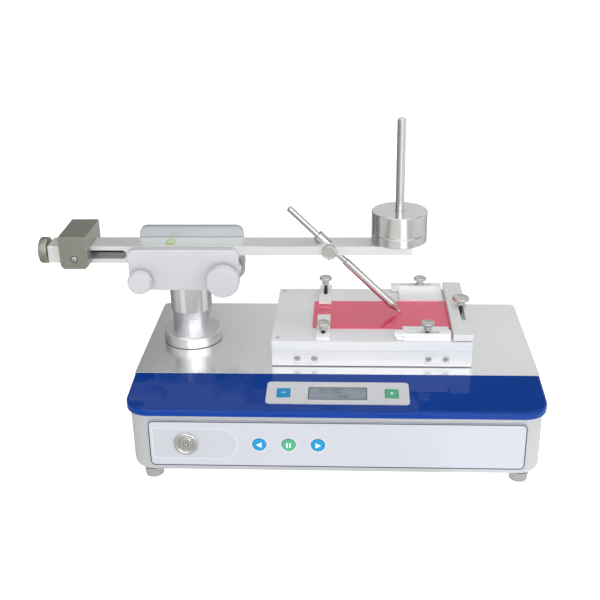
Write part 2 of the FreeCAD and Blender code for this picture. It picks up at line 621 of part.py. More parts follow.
def make_lift():
    length = "cheek_rear_out - cheek_front_out + 2 * knob_gap"
    rod = cylinder("lift_rod", "lift_at", "cheek_front_out - knob_gap", "lift_z",
                   "lift_shaft_radius", length, REARWARDS)
    disc = cylinder("cam_disc", "lift_at", "beam_line_y - cam_width / 2", "lift_z - cam_eccentricity",
                    "cam_reach + cam_eccentricity", "cam_width", REARWARDS)
    keep = box("cam_keep", "lift_at - 8", "lift_at + cam_reach + 9", "beam_line_y - cam_width / 2",
               "beam_line_y + cam_width / 2", "lift_z - 8", "lift_z + cam_reach + 9")
    cam = doc.addObject("Part::Common", "cam_lobe")
    cam.Base = disc
    cam.Tool = keep
    node(joined("lift_cam", [rod, cam]), "lift_shaft")
    turned("front_lift_knob", knob_profile("lift_knob_radius", "lift_knob_width"),
           "lift_at", "cheek_front_out - knob_gap - hub_width", "lift_z", FRONTWARDS)
    turned("rear_lift_knob", knob_profile("lift_knob_radius", "lift_knob_width"),
           "lift_at", "cheek_rear_out + knob_gap + hub_width", "lift_z", REARWARDS)


def make_lock():
    reach = "(knob_gap + cheek_rear_in - cheek_front_out + lock_seat - clamp_clearance)"
    profile = [("0", f"-hub_width - {reach}"), ("lock_stem_radius", f"-hub_width - {reach}"),
               ("lock_stem_radius", "-hub_width")] + knob_profile("lock_knob_radius", "lock_knob_width")[1:]
    turned("lock_knob", profile, "lock_at", "cheek_front_out - knob_gap - hub_width", "lock_z", FRONTWARDS)


# Beam: deep at the tail, where a slot holds the counterweight's screw, and thin towards the load.

def make_beam():
    body = new_body("beam")
    low, thin = "beam_low", "beam_top - beam_thin"
    left, right = "column_at + beam_left", "column_at + beam_right"
    step = "column_at + deep_right"
    extrude(body, "XZ", "beam_front", "beam_rear",
            lambda s: draw_outline(s, [(left, low), (step, low), (step, thin), (right, thin),
                                       (right, "beam_top"), (left, "beam_top")]))
    extrude(body, "XZ", "beam_front - 1", "beam_rear + 1",
            lambda s: draw_circle(s, "column_at", "beam_pivot_z", "axle_radius + run_clearance"), cut=True)
    radius = "slot_height / 2"
    slot_cut(body, "XZ", "beam_front - 1", "beam_rear + 1", f"column_at + slot_left + {radius}",
             f"column_at + slot_right - {radius}", "slot_z", radius)
    extrude(body, "YZ", f"{left} - 1", f"column_at + slot_left + {radius}",
            lambda s: draw_circle(s, "beam_line_y", "slot_z", "tail_screw_radius + run_clearance"), cut=True)
    extrude(body, "YZ", f"column_at + slot_right - 1", "column_at + slot_right + 8",
            lambda s: draw_circle(s, "beam_line_y", "slot_z", "tail_screw_radius + run_clearance"), cut=True)
    extrude(body, "XY", "beam_top - level_depth", "beam_top + 1",
            lambda s: draw_box(s, "column_at + level_x - level_length / 2",
                               "column_at + level_x + level_length / 2",
                               "beam_line_y - level_width / 2", "beam_line_y + level_width / 2"), cut=True)
    # The stylus passes at 45 degrees, so its bore starts below the beam on the line to the tip.
    bore = body.newObject("PartDesign::SubtractiveCylinder", "stylus_bore")
    bind(bore, "Radius", "stylus_radius + run_clearance")
    bind(bore, "Height", "beam_thin * 6")
    bore.Placement = Placement(Vector(), Rotation(Y, -45))
    bind(bore, ".Placement.Base.x", "tip_at - (beam_top - beam_thin * 2 - tip_z)")
    bind(bore, ".Placement.Base.y", "beam_line_y")
    bind(bore, ".Placement.Base.z", "beam_top - beam_thin * 2")
    # The stylus's collar rests in a wider bore, sunk from the beam's top along the same line.
    seat = body.newObject("PartDesign::SubtractiveCylinder", "collar_seat")
    bind(seat, "Radius", "stylus_collar_radius + run_clearance")
    bind(seat, "Height", "beam_thin * 4")
    seat.Placement = Placement(Vector(), Rotation(Y, -45))
    bind(seat, ".Placement.Base.x", "tip_at - (beam_top - tip_z) + collar_sink / sqrt(2)")
    bind(seat, ".Placement.Base.y", "beam_line_y")
    bind(seat, ".Placement.Base.z", "beam_top - collar_sink / sqrt(2)")
    extrude(body, "XZ", "beam_front - 1", "beam_line_y",
            lambda s: draw_circle(s, "stylus_screw_at", "stylus_screw_z",
                                  "stylus_screw_stem + run_clearance"), cut=True)
    extrude(body, "XY", f"{thin} - 1", "beam_top + 1",
            lambda s: draw_circle(s, "load_at", "beam_line_y", "rod_radius"), cut=True)
    end = new_body("tail_end_block")
    extrude(end, "YZ", "tail_x", left,
            lambda s: draw_box(s, "beam_front", "beam_rear", low, "beam_top"))
    soften(end, "Fillet", "end_block_corner", lambda e: runs_along(e, X))
    extrude(end, "YZ", "tail_x - 1", f"{left} + 1",
            lambda s: draw_circle(s, "beam_line_y", "slot_z", "tail_screw_radius + run_clearance"), cut=True)


PLACES["stylus_screw_z"] = "beam_top - beam_thin / 2"
PLACES["tip_z"] = "panel_top + tip_lift"
PLACES["stylus_screw_at"] = "tip_at - (stylus_screw_z - tip_z)"


def make_level():
    half_x, half_y = "(level_length / 2 - 0.02)", "(level_width / 2 - 0.02)"
    body = new_body("bubble_level")
    extrude(body, "XY", "beam_top - level_depth", "beam_top + level_proud",
            lambda s: draw_box(s, f"column_at + level_x - {half_x}", f"column_at + level_x + {half_x}",
                               f"beam_line_y - {half_y}", f"beam_line_y + {half_y}"))
    soften(body, "Fillet", "level_length / 2 - 0.5", lambda e: runs_along(e, Z))


def make_weight_rod():
    turned("weight_rod",
           [("0", "-beam_thin"), ("rod_radius", "-beam_thin"), ("rod_radius", "0.01"),
            ("rod_collar_radius", "0.01"), ("rod_collar_radius", "rod_collar_height - 0.05"),
            ("rod_radius", "rod_collar_height - 0.05"), ("rod_radius", "rod_height - 1.5"),
            ("rod_radius - 1.5", "rod_height"), ("0", "rod_height")],
           "load_at", "beam_line_y", "beam_top")


def make_tail():
    reach = "slot_right - beam_left + end_block_length + 7"
    turned("tail_screw",
           [("0", f"-({reach})"), ("tail_screw_radius", f"-({reach})"), ("tail_screw_radius", "0.2"),
            ("tail_neck_radius", "0.2"), ("tail_neck_radius", "tail_neck"), ("0", "tail_neck")],
           "tail_x", "beam_line_y", "slot_z", LEFTWARDS)
    turned("tail_knob",
           [("0", "0"), ("tail_knob_radius - 1", "0"), ("tail_knob_radius", "1"),
            ("tail_knob_radius", "tail_knob_width - 1"), ("tail_knob_radius - 1", "tail_knob_width"),
            ("0", "tail_knob_width")],
           "tail_x - tail_neck", "beam_line_y", "slot_z", LEFTWARDS)
    half = "weight_block_width / 2"
    bottom = "beam_low - weight_block_drop"
    body = new_body("counterweight")
    extrude(body, "YZ", "weight_at - weight_block_length / 2", "weight_at + weight_block_length / 2",
            lambda s: draw_outline(s, [
                (f"beam_line_y - {half}", bottom), ("beam_front - weight_slide_gap", bottom),
                ("beam_front - weight_slide_gap", "beam_top + weight_slide_gap"),
                ("beam_rear + weight_slide_gap", "beam_top + weight_slide_gap"),
                ("beam_rear + weight_slide_gap", bottom), (f"beam_line_y + {half}", bottom),
                (f"beam_line_y + {half}", f"{bottom} + weight_block_height"),
                (f"beam_line_y - {half}", f"{bottom} + weight_block_height")]))
    low = body.Shape.BoundBox.ZMin + 0.01
    soften(body, "Chamfer", "weight_block_chamfer",
           lambda e: runs_along(e, Y) and e.BoundBox.ZMax < low)
    extrude(body, "XZ", f"beam_line_y - {half} - 1", f"beam_line_y + {half} + 1",
            lambda s: draw_circle(s, "weight_at", "slot_z", "cross_pin_radius + run_clearance"), cut=True)
    pin = cylinder("cross_pin", "weight_at", f"beam_line_y - {half} + 0.6", "slot_z",
                   "cross_pin_radius", "weight_block_width - 1.2", REARWARDS)
    block = box("nut_block", "weight_at - tail_nut_length / 2", "weight_at + tail_nut_length / 2",
                "beam_line_y - beam_width / 2 + 4", "beam_line_y + beam_width / 2 - 4",
                "slot_z - slot_height / 2 + 0.3", "slot_z + slot_height / 2 - 0.3")
    bore = cylinder("nut_bore", "weight_at - tail_nut_length", "beam_line_y", "slot_z",
                    "tail_screw_radius + run_clearance", "tail_nut_length * 2", Rotation(Y, 90))
    node(cut_from("tail_nut_form", joined("pin_and_block", [pin, block]), [bore]), "counterweight_nut")


# Stylus: everything on it is turned about one line that leans at 45 degrees and ends at the panel.

def make_stylus():
    lean = Rotation(Y, -45)
    spot = ("tip_at", "beam_line_y", "tip_z")
    length = "(beam_top - tip_z) * sqrt(2) + stylus_above"
    collar_low = "(beam_top - tip_z) * sqrt(2) - collar_sink + run_clearance"
    collar_high = f"{collar_low} + stylus_collar_length"
    start = "tip_length + holder_taper + holder_length"
    turned("stylus_rod",
           [("0", f"{start} - 10"), ("stylus_radius", f"{start} - 10"), ("stylus_radius", collar_low),
            ("stylus_collar_radius", collar_low), ("stylus_collar_radius", collar_high),
            ("stylus_radius", collar_high), ("stylus_radius", f"{length} - 1"),
            ("stylus_radius - 1", length), ("0", length)], *spot, lean)
    turned("stylus_holder",
           [("tip_radius", "tip_length"), ("tip_radius + 0.8", "tip_length"),
            ("holder_radius + 0.4", "tip_length + holder_taper * 0.55"),
            ("holder_radius + 0.4", "tip_length + holder_taper"),
            ("holder_radius", "tip_length + holder_taper"), ("holder_radius", f"{start} - 0.8"),
            ("holder_radius - 0.8", start), ("stylus_radius", start),
            ("stylus_radius", f"{start} - 10"), ("tip_radius", f"{start} - 10")], *spot, lean)
    turned("stylus_tip",
           [("0", "0"), ("tip_radius * 0.5", "0.4"), ("tip_radius", "2"), ("tip_radius", "tip_length + 8"),
            ("0", "tip_length + 8")], *spot, lean)
    turned("stylus_thumbscrew",
           [("0", "-beam_width / 2 + stylus_radius + 0.4"),
            ("stylus_screw_stem", "-beam_width / 2 + stylus_radius + 0.4"), ("stylus_screw_stem", "0.4"),
            ("stylus_screw_radius - 1.5", "0.4"), ("stylus_screw_radius", "2"),
            ("stylus_screw_radius", "stylus_screw_width"),
            ("stylus_screw_radius - 0.8", "stylus_screw_width + 0.8"), ("0", "stylus_screw_width + 0.8")],
           "stylus_screw_at", "beam_front", "stylus_screw_z", FRONTWARDS)


def make_weights():
    """Two bored weights, so that each can be lifted off over the top of the rod."""
    heights = (("lower_weight", "disc_low", "lower_disc_height"),
               ("main_weight", "main_low", "main_weight_height"))
    bore = "rod_radius + disc_bore_clearance"
    for label, low, height in heights:
        turned(label,
               [(bore, "0"), ("disc_radius - 0.6", "0"), ("disc_radius", "0.6"),
                ("disc_radius", f"{height} - 0.6"), ("disc_radius - 0.6", height), (bore, height)],
               "load_at", "beam_line_y", low)


# Table: an upper plate on a lower block, with the panel and its clamps on top.

def make_table():
    right = "table_x + table_width"
    plate = new_body("table_plate")
    extrude(plate, "XY", "plate_low", "table_top",
            lambda s: draw_box(s, "table_x", right, "table_front", "table_rear"))
    soften(plate, "Fillet", "table_corner", lambda e: runs_along(e, Z))
    for x, y, radius in SCREW_SPOTS:
        extrude(plate, "XY", "table_top - screw_depth", "table_top + 1",
                lambda s: draw_circle(s, x, y, radius), cut=True)
    apron = new_body("table_apron")
    extrude(apron, "XY", "apron_low", "plate_low - plate_joint",
            lambda s: draw_box(s, "table_x", right, "table_front", "table_rear"))
    soften(apron, "Fillet", "table_corner", lambda e: runs_along(e, Z))
    extrude(apron, "XY", "apron_low - 1", "plate_low - plate_joint - riser_seat",
            lambda s: draw_box(s, "table_x + apron_wall", f"{right} - apron_wall", "table_front + apron_wall",
                               "table_rear - apron_wall"),
            cut=True)
    rise = "apron_low + apron_height / 2"
    starts = ("table_x + pad_inset", f"{right} - pad_inset - pad_width")
    for start in starts:
        extrude(apron, "XZ", "table_front - pad_rise", "table_front",
                lambda s: draw_box(s, start, f"{start} + pad_width", f"{rise} - pad_height / 2",
                                   f"{rise} + pad_height / 2"))
    screws = []
    for side, start in zip(("left", "right"), starts):
        for count, share in enumerate((0.15, 0.85)):
            screws.append(cylinder(f"{side}_apron_screw_{'ab'[count]}", f"{start} + pad_width * {share}",
                                   "table_front - pad_rise - screw_rise", rise, "table_screw_radius",
                                   "screw_rise", REARWARDS))
    for end, y in (("front", "table_front + 9"), ("rear", "table_rear - 8")):
        screws.append(cylinder(f"{end}_plate_screw", "table_x + 6.5", y, "table_top",
                               "table_screw_radius * 0.8", "plate_screw_rise"))
    node(joined("screw_group", screws), "table_screws")


def make_panel():
    body = new_body("test_panel")
    start = "table_x + panel_left"
    extrude(body, "XY", "table_top", "panel_top",
            lambda s: draw_box(s, start, f"{start} + panel_length", "panel_front", "panel_rear"))
    soften(body, "Fillet", "panel_corner", lambda e: runs_along(e, Z))


PLACES["strap_left"] = "table_x + strap_x - strap_width / 2"
PLACES["front_strap_screw"] = "table_front + strap_slot_start + strap_slot_length / 2"
PLACES["rear_strap_screw"] = "table_rear - strap_slot_start - strap_slot_length / 2"
PLACES["guide_start"] = "bar_left - guide_from_bar - guide_length"
PLACES["guide_screw_at"] = "guide_start + guide_slot_start + guide_slot_length - 12.5"
PLACES["front_guide_y"] = "table_front + 2 + guide_rib / 2"
PLACES["rear_guide_y"] = "table_rear - 2 - guide_rib / 2"
PLACES["bar_slot"] = "bar_left + bar_slot_x"
THREAD = "screw_stem_radius + run_clearance"
SCREW_SPOTS = [
    ("table_x + strap_x", "front_strap_screw", THREAD),
    ("table_x + strap_x", "rear_strap_screw", THREAD),
    ("guide_screw_at", "front_guide_y", THREAD),
    ("guide_screw_at", "rear_guide_y", THREAD),
    ("bar_slot", "bar_screw_y", THREAD),
]


def make_straps():
    """A slotted strap holds each long edge of the panel, relieved underneath by the panel's thickness."""
    low, top = "table_top + clamp_clearance", "table_top + clamp_clearance + strap_height"
    over = "panel_thickness + clamp_clearance"
    for label, outer, sign in (("front_strap", "table_front", ""), ("rear_strap", "table_rear", "-")):
        body = new_body(label)
        tip = f"{outer} + {sign}{label}_length"
        edge = f"panel_{label.split('_')[0]} - {sign}clamp_clearance - {sign}0.3"
        extrude(body, "YZ", "strap_left", "strap_left + strap_width",
                lambda s: draw_outline(s, [(outer, low), (edge, low), (edge, f"{low} + {over}"),
                                           (tip, f"{low} + {over}"), (tip, top), (outer, top)]))
        first = f"{outer} + {sign}(strap_slot_start + strap_slot_radius)"
        last = f"{outer} + {sign}(strap_slot_start + strap_slot_length - strap_slot_radius)"
        ends = (first, last) if sign == "" else (last, first)
        slot_cut(body, "XY", "table_top", f"{top} + 1", *ends, "table_x + strap_x", "strap_slot_radius",
                 upright=True)


def make_guides():
    """Each guide is a slotted rib with a flat flange that stops against the panel's long edge."""
    low = "table_top + clamp_clearance"
    top = f"{low} + guide_height"
    end = "guide_start + guide_length"
    for label, sign in (("front_guide", ""), ("rear_guide", "-")):
        side = label.split("_")[0]
        middle = f"{side}_guide_y"
        outer = f"{middle} - {sign}guide_rib / 2"
        inner = f"{middle} + {sign}guide_rib / 2"
        edge = f"panel_{side} - {sign}clamp_clearance"
        body = new_body(label)
        extrude(body, "YZ", "guide_start + guide_overhang", end,
                lambda s: draw_outline(s, [(outer, low), (edge, low), (edge, f"{low} + guide_flange"),
                                           (inner, f"{low} + guide_flange"), (inner, top), (outer, top)]))
        extrude(body, "YZ", "guide_start", "guide_start + guide_overhang + 0.5",
                lambda s: draw_outline(s, [(outer, f"{top} - guide_plate"), (inner, f"{top} - guide_plate"),
                                           (inner, top), (outer, top)]))
        extrude(body, "YZ", "guide_start + 1.5", "guide_start + guide_overhang + 0.5",
                lambda s: draw_circle(s, f"{middle} - guide_pin_radius", f"{low} + guide_pin_radius",
                                      "guide_pin_radius"))
        slot_cut(body, "XY", "table_top", f"{top} + 1",
                 "guide_start + guide_slot_start + guide_slot_radius",
                 "guide_start + guide_slot_start + guide_slot_length - guide_slot_radius",
                 middle, "guide_slot_radius")


def make_bar():
    body = new_body("end_bar")
    low = "table_top + panel_thickness + clamp_clearance"
    top = "table_top + clamp_clearance + bar_height"
    extrude(body, "XY", low, top,
            lambda s: draw_box(s, "bar_left", "bar_left + bar_width", "table_front", "table_rear"))
    slot_cut(body, "XY", f"{low} - 1", f"{top} + 1", "bar_screw_y - bar_slot_length + 10",
             "bar_screw_y + 10", "bar_slot", "bar_slot_radius", upright=True)


def make_thumbscrews():
    """Thin round heads on a collar and a plain shank that runs down into the table plate."""
    heads = (("front_strap", "strap_height", "screw_head_radius", "screw_stand"),
             ("rear_strap", "strap_height", "screw_head_radius", "raised_stand"),
             ("front_guide", "guide_height", "screw_head_radius", "guide_stand"),
             ("rear_guide", "guide_height", "screw_head_radius", "screw_stand"),
             ("end_bar", "bar_height", "bar_head_radius", "guide_stand"))
    for (label, height, radius, stand), (x, y, _) in zip(heads, SCREW_SPOTS):
        head = f"clamp_clearance * 2 + {height} + {stand}"
        seat = f"{head} - screw_stand"
        turned(label + "_thumbscrew",
               [("0", "-screw_depth + 1"), ("screw_stem_radius", "-screw_depth + 1"),
                ("screw_stem_radius", seat), ("screw_collar_radius", seat),
                ("screw_collar_radius", f"{seat} + 1.6"), ("screw_stem_radius + 1", f"{seat} + 2.2"),
                ("screw_stem_radius + 1", f"{head} - screw_head_height - 0.8"),
                (f"{radius} - 1.4", f"{head} - screw_head_height"),
                (radius, f"{head} - screw_head_height + 0.6"),
                (radius, f"{head} - 0.6"), (f"{radius} - 0.8", head), ("0", head)],
               x, y, "table_top")


# Slide inside the housing: two supported rails, four carriages, a bridge with a riser, screw and motor.

def make_slide():
    start, end = "table_mid - rail_length / 2", "table_mid + rail_length / 2"
    sideways = Rotation(Y, 90)
    rails, carriages = [], []
    for side, sign in (("front", "-"), ("rear", "")):
        y = f"table_centre_y + {sign}rail_spacing / 2"
        stand = box(f"{side}_rail_stand", start, end, f"{y} - rail_web / 2", f"{y} + rail_web / 2",
                    "slide_floor", "rail_top - rail_radius")
        foot = box(f"{side}_rail_foot", start, end, f"{y} - rail_foot_width / 2",
                   f"{y} + rail_foot_width / 2", "slide_floor", "slide_floor + rail_foot_height")
        bar = cylinder(f"{side}_rail_bar", start, y, "rail_top - rail_radius", "rail_radius", "rail_length",
                       sideways)
        rails.append(joined(f"{side}_rail", [stand, foot, bar]))
        for end_name, shift in (("left", "-riser_length - bridge_margin"),
                                ("right", "riser_length + bridge_margin - carriage_length")):
            x = f"table_mid + {shift}"
            block = box(f"{side}_{end_name}_block", x, f"{x} + carriage_length", f"{y} - carriage_width / 2",
                        f"{y} + carriage_width / 2", "block_low", "bridge_low")
            bore = cylinder(f"{side}_{end_name}_bore", f"{x} - 1", y, "rail_top - rail_radius",
                            "rail_radius + run_clearance", "carriage_length + 2", sideways)
            gap = box(f"{side}_{end_name}_gap", f"{x} - 1", f"{x} + carriage_length + 1",
                      f"{y} - rail_slit / 2", f"{y} + rail_slit / 2", "block_low - 1",
                      "rail_top - rail_radius")
            carriages.append(cut_from(f"{side}_{end_name}_carriage", block, [bore, gap]))
    node(joined("rail_pair", rails), "slide_rails")
    node(joined("carriage_group", carriages), "slide_carriages")
    width = "rail_spacing + carriage_width"
    bridge = box("bridge_plate", "table_mid - riser_length - bridge_margin",
                 "table_mid + riser_length + bridge_margin", f"table_centre_y - ({width}) / 2",
                 f"table_centre_y + ({width}) / 2", "bridge_low", "bridge_low + bridge_thickness")
    riser = box("bridge_riser", "table_mid - riser_length / 2", "table_mid + riser_length / 2",
                "table_centre_y - riser_width / 2", "table_centre_y + riser_width / 2",
                "bridge_low", "plate_low - plate_joint - riser_seat")
    nut = box("nut_lug", "table_mid - nut_length / 2", "table_mid + nut_length / 2",
              "table_centre_y - nut_radius", "table_centre_y + nut_radius", "screw_z - nut_radius",
              "bridge_low + 1")
    bore = cylinder("drive_nut_bore", "table_mid - nut_length / 2 - 1", "table_centre_y", "screw_z",
                    "lead_screw_radius + run_clearance", "nut_length + 2", sideways)
    node(cut_from("bridge_form", joined("bridge_whole", [bridge, riser, nut]), [bore]), "slide_bridge")
    node(cylinder("screw_rod", "screw_start", "table_centre_y", "screw_z", "lead_screw_radius",
                  "rail_length + screw_overhang + post_depth / 2", sideways), "slide_screw")
    # The motor's bracket carries the screw's near end; the far end runs in a plain bearing post.
    half = "motor_size / 2"
    motor = box("motor_case", "motor_left", "motor_left + motor_length", f"table_centre_y - {half}",
                f"table_centre_y + {half}", f"screw_z - {half}", f"screw_z + {half}")
    shaft = cylinder("motor_shaft", "screw_start - motor_gap", "table_centre_y", "screw_z",
                     "motor_shaft_radius", "motor_gap - clamp_clearance", sideways)
    leg = box("motor_leg", "motor_left", "motor_left + motor_length", f"table_centre_y - {half}",
              f"table_centre_y + {half}", "slide_floor", f"screw_z - {half} + 1")
    group = [motor, shaft, leg]
    for name, x, depth in (("near_post", "screw_start + 2", "near_depth"),
                           ("far_post", f"{end} - near_depth", "post_depth")):
        post = box(name, x, f"{x} + {depth}", "table_centre_y - post_width / 2",
                   "table_centre_y + post_width / 2", "slide_floor", "screw_z + post_width / 2")
        hole = cylinder(name + "_bore", f"{x} - 1", "table_centre_y", "screw_z",
                        "lead_screw_radius + run_clearance", f"{depth} + 2", sideways)
        group.append(cut_from(name + "_form", post, [hole]))
    node(joined("motor_group", group), "drive_motor")


def make_electrics():
    left, right = "base_x - board_width / 2", "base_x + board_width / 2"
    group = [box("board_plate", left, right, "board_front", "board_front + board_depth",
                 "board_low", "board_low + board_thickness")]
    for x in (f"{left} + 2", f"{right} - pillar_width - 2"):
        group.append(box("board_pillar", x, f"{x} + pillar_width", "board_front + 2",
                         "board_front + pillar_width + 2", "slide_floor", "board_low"))
    for name, x, wide in (("board_chip", "base_x - chip_width", "chip_width"),
                          ("board_relay", "base_x + chip_width", "relay_width")):
        group.append(box(name, x, f"{x} + {wide}", "board_front + 6", "board_front + board_depth - 6",
                         "board_low + board_thickness", "board_low + board_thickness + chip_height"))
    node(joined("board_group", group), "control_board")
    x = "base_x + inlet_x"
    flange = box("inlet_flange", f"{x} - inlet_width / 2", f"{x} + inlet_width / 2", "case_rear",
                 "case_rear + inlet_flange", "fascia_z - inlet_height / 2 - 2",
                 "fascia_z + inlet_height / 2 + 2")
    shell = box("inlet_shell", f"{x} - inlet_width / 2 + 5", f"{x} + inlet_width / 2 - 5",
                "case_rear - inlet_depth", "case_rear + 0.5", "fascia_z - inlet_height / 2 + 0.5",
                "fascia_z + inlet_height / 2 - 0.5")
    well = box("inlet_well", f"{x} - inlet_width / 2 + 10", f"{x} + inlet_width / 2 - 10",
               "case_rear - inlet_depth + 3", "case_rear + 3", "fascia_z - inlet_height / 2 + 4",
               "fascia_z + inlet_height / 2 - 4")
    blades = [box("inlet_blade", f"{x} + {shift} * blade_pitch - 1", f"{x} + {shift} * blade_pitch + 1",
                  "case_rear - inlet_depth + 2", "case_rear - 4", "fascia_z - 3", "fascia_z + 3")
              for shift in (-1, 0, 1)]
    socket = cut_from("inlet_socket", joined("inlet_form", [flange, shell]), [well])
    node(joined("inlet_group", [socket] + blades), "power_inlet")


make_case()
make_bottom()
make_lid()
make_nose()
make_feet()
make_fascia()
make_power_button()
make_round_keys()
make_display()
make_column()
make_cheek("front_cheek", "cheek_front_in", "cheek_front_out", 1)
make_cheek("rear_cheek", "cheek_rear_in", "cheek_rear_out", -1)
make_pivot()
make_lift()
make_lock()
make_beam()
make_level()
make_weight_rod()
make_tail()
make_stylus()
make_weights()
make_table()
make_panel()
make_straps()
make_guides()
make_bar()
make_thumbscrews()
make_slide()
make_electrics()
doc.recompute()

for item in doc.Objects:
    if "Invalid" in item.State or "Error" in item.State:
        raise RuntimeError(f"{item.Label} is {item.State}")
for part in NODES:
    if part.Shape.isNull() or not part.Shape.isValid():
        raise RuntimeError(f"{part.Label} has no valid shape")

os.makedirs("parts", exist_ok=True)
for part in NODES:
    part.Shape.exportStep(f"parts/{part.Label}.step")
    print(part.Label, len(part.Shape.Solids), round(part.Shape.Volume, 1))
print(len(NODES), "nodes")
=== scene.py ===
# %% [markdown]
# # Mar resistance tester
# A mar tester drags a loaded stylus over a painted panel and shows at which load the paint is marred. Its
# case, table, post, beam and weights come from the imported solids, which are the frame of this scene. The
# script gives them their finishes, swaps a few for finer ones, and adds what is too thin or too fine for a
# solid: prints, signs, knurls and threads. Lengths are written in millimetres and turned into metres by
# `MM`.

# %% Read the frame
import math

import bmesh
import bpy
from mathutils import Matrix, Vector


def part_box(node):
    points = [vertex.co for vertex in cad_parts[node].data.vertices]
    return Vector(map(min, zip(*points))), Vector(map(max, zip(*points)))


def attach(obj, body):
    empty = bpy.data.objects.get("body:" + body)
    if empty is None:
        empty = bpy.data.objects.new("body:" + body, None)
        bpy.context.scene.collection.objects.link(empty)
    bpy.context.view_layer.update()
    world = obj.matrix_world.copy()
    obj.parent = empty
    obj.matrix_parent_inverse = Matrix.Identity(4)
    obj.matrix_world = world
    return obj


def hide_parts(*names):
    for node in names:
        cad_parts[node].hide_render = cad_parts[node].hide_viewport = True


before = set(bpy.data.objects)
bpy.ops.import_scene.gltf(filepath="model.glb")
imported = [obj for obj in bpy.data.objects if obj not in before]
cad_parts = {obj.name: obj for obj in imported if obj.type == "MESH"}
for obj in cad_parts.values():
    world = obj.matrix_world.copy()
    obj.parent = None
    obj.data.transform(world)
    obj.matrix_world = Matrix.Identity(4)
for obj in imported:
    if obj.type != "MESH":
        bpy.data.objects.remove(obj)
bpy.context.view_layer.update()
MM = 0.001
X_AXIS, Y_AXIS, Z_AXIS = Vector((1, 0, 0)), Vector((0, 1, 0)), Vector((0, 0, 1))


def span(node):
    """A node's box in millimetres: low corner, high corner and middle."""
    low, high = (Vector(corner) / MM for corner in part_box(node))
    return low, high, (low + high) / 2


print("nodes in the frame:", len(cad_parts))

# %% [markdown]
# ## Shader nodes
# A finish could be an image, but noise worked out from the place on the piece needs no unwrapping and stays
# sharp from near by. Every node is added by one function, which takes its kind, its settings, and a value
# or a link for each input. A hex colour is written as a screen shows it, while Blender counts in linear
# light, so one function turns the one into the other.

# %% Colours and nodes
WHITE = (1.0, 1.0, 1.0, 1.0)


def colour(code):
    """A hex colour of the screen as linear light."""
    parts = [int(code[k:k + 2], 16) / 255 for k in (1, 3, 5)]
    return tuple(c / 12.92 if c < 0.04045 else ((c + 0.055) / 1.055) ** 2.4 for c in parts) + (1.0,)


def add(tree, kind, settings=None, **inputs):
    """Adds a shader node. An input is a value, a socket or a node, and i0, i1 and so on name it by its
    number. The stops of a colour ramp are places with a hex colour or a level of linear light."""
    made = tree.nodes.new("ShaderNode" + kind)
    for key, value in (settings or {}).items():
        if key != "stops":
            setattr(made, key, value)
            continue
        stops = made.color_ramp.elements
        for place, tone in value:
            stop = {0.0: stops[0], 1.0: stops[-1]}.get(place) or stops.new(place)
            stop.color = colour(tone) if isinstance(tone, str) else (tone, tone, tone, 1.0)
    for key, value in inputs.items():
        socket = made.inputs[int(key[1:])] if key[1:].isdigit() else made.inputs[key.replace("_", " ")]
        value = value.outputs[0] if isinstance(value, bpy.types.Node) else value
        if isinstance(value, bpy.types.NodeSocket):
            tree.links.new(value, socket)
        else:
            socket.default_value = value
    return made


print("half grey on the screen is", round(colour("#808080")[0], 3), "of linear light")

# %% [markdown]
# ## The grain of a surface
# Brushing leaves lines along one direction, and a lathe leaves rings round the piece's own axis. Both are
# plain noise whose coordinates are squeezed: a brushed piece shrinks the direction of its lines, and a
# turned one swaps its place for the height along the axis and the distance from it.

# %% Grain of brushed and turned pieces
def from_axis(tree, centre):
    """The place on a piece, counted from a point on its axis in millimetres."""
    place = add(tree, "TexCoord").outputs["Object"]
    return add(tree, "VectorMath", {"operation": "SUBTRACT"}, i0=place, i1=[part * MM for part in centre])


def grain_place(tree, pattern, centre):
    """Object coordinates, stretched along the brushing or wrapped round the axis of a turned piece."""
    if centre is None:
        place = add(tree, "TexCoord").outputs["Object"]
        return add(tree, "VectorMath", {"operation": "MULTIPLY"}, i0=place, i1=pattern)
    moved = from_axis(tree, centre)
    along = add(tree, "VectorMath", {"operation": "DOT_PRODUCT"}, i0=moved, i1=pattern)
    across = add(tree, "VectorMath", {"operation": "CROSS_PRODUCT"}, i0=moved, i1=pattern)
    radius = add(tree, "VectorMath", {"operation": "LENGTH"}, i0=across)
    return add(tree, "CombineXYZ", i0=along.outputs["Value"], i1=radius.outputs["Value"])


print("a grain of 0.25 mm is a noise scale of", 1 / (0.25 * MM))

# %% [markdown]
# ## What a turned piece mirrors
# In the photograph the post, the rod and the weights mirror a room: dark gaps between bright windows, as
# upright bands. A whole room could stand round the object, but then the other pieces would mirror it too.
# So the bands are a painted reflection in the base colour of the turned pieces alone, by the angle round
# their axis, and fade on their flat ends.

# %% Bands of a mirrored room
def painted_room_reflection(tree, tone, centre, bands):
    """Paints a reflection of the room on the upright sides of a turned piece, as darker bands in its base
    colour.
    A band's place is the turn from 0 to 1: it starts at -x and has the camera at about a quarter."""
    parts = add(tree, "SeparateXYZ", Vector=from_axis(tree, centre))
    angle = add(tree, "Math", {"operation": "ARCTAN2"}, i0=parts.outputs["Y"], i1=parts.outputs["X"])
    turn = add(tree, "Math", {"operation": "MULTIPLY_ADD"}, i0=angle, i1=1 / (2 * math.pi), i2=0.5)
    level = add(tree, "ValToRGB", {"stops": bands}, Fac=turn)
    facing = add(tree, "SeparateXYZ", Vector=add(tree, "NewGeometry").outputs["Normal"])
    flat = add(tree, "Math", {"operation": "ABSOLUTE"}, i0=facing.outputs["Z"])
    sides = add(tree, "Mix", {"data_type": "RGBA"}, i0=flat, i6=level, i7=WHITE)
    darker = add(tree, "Mix", {"data_type": "RGBA", "blend_type": "MULTIPLY"}, i0=1.0, i6=tone,
                 i7=sides.outputs[2])
    return darker.outputs[2]


print("the camera's side is at a turn of", math.atan2(-1, 0) / (2 * math.pi) + 0.5)
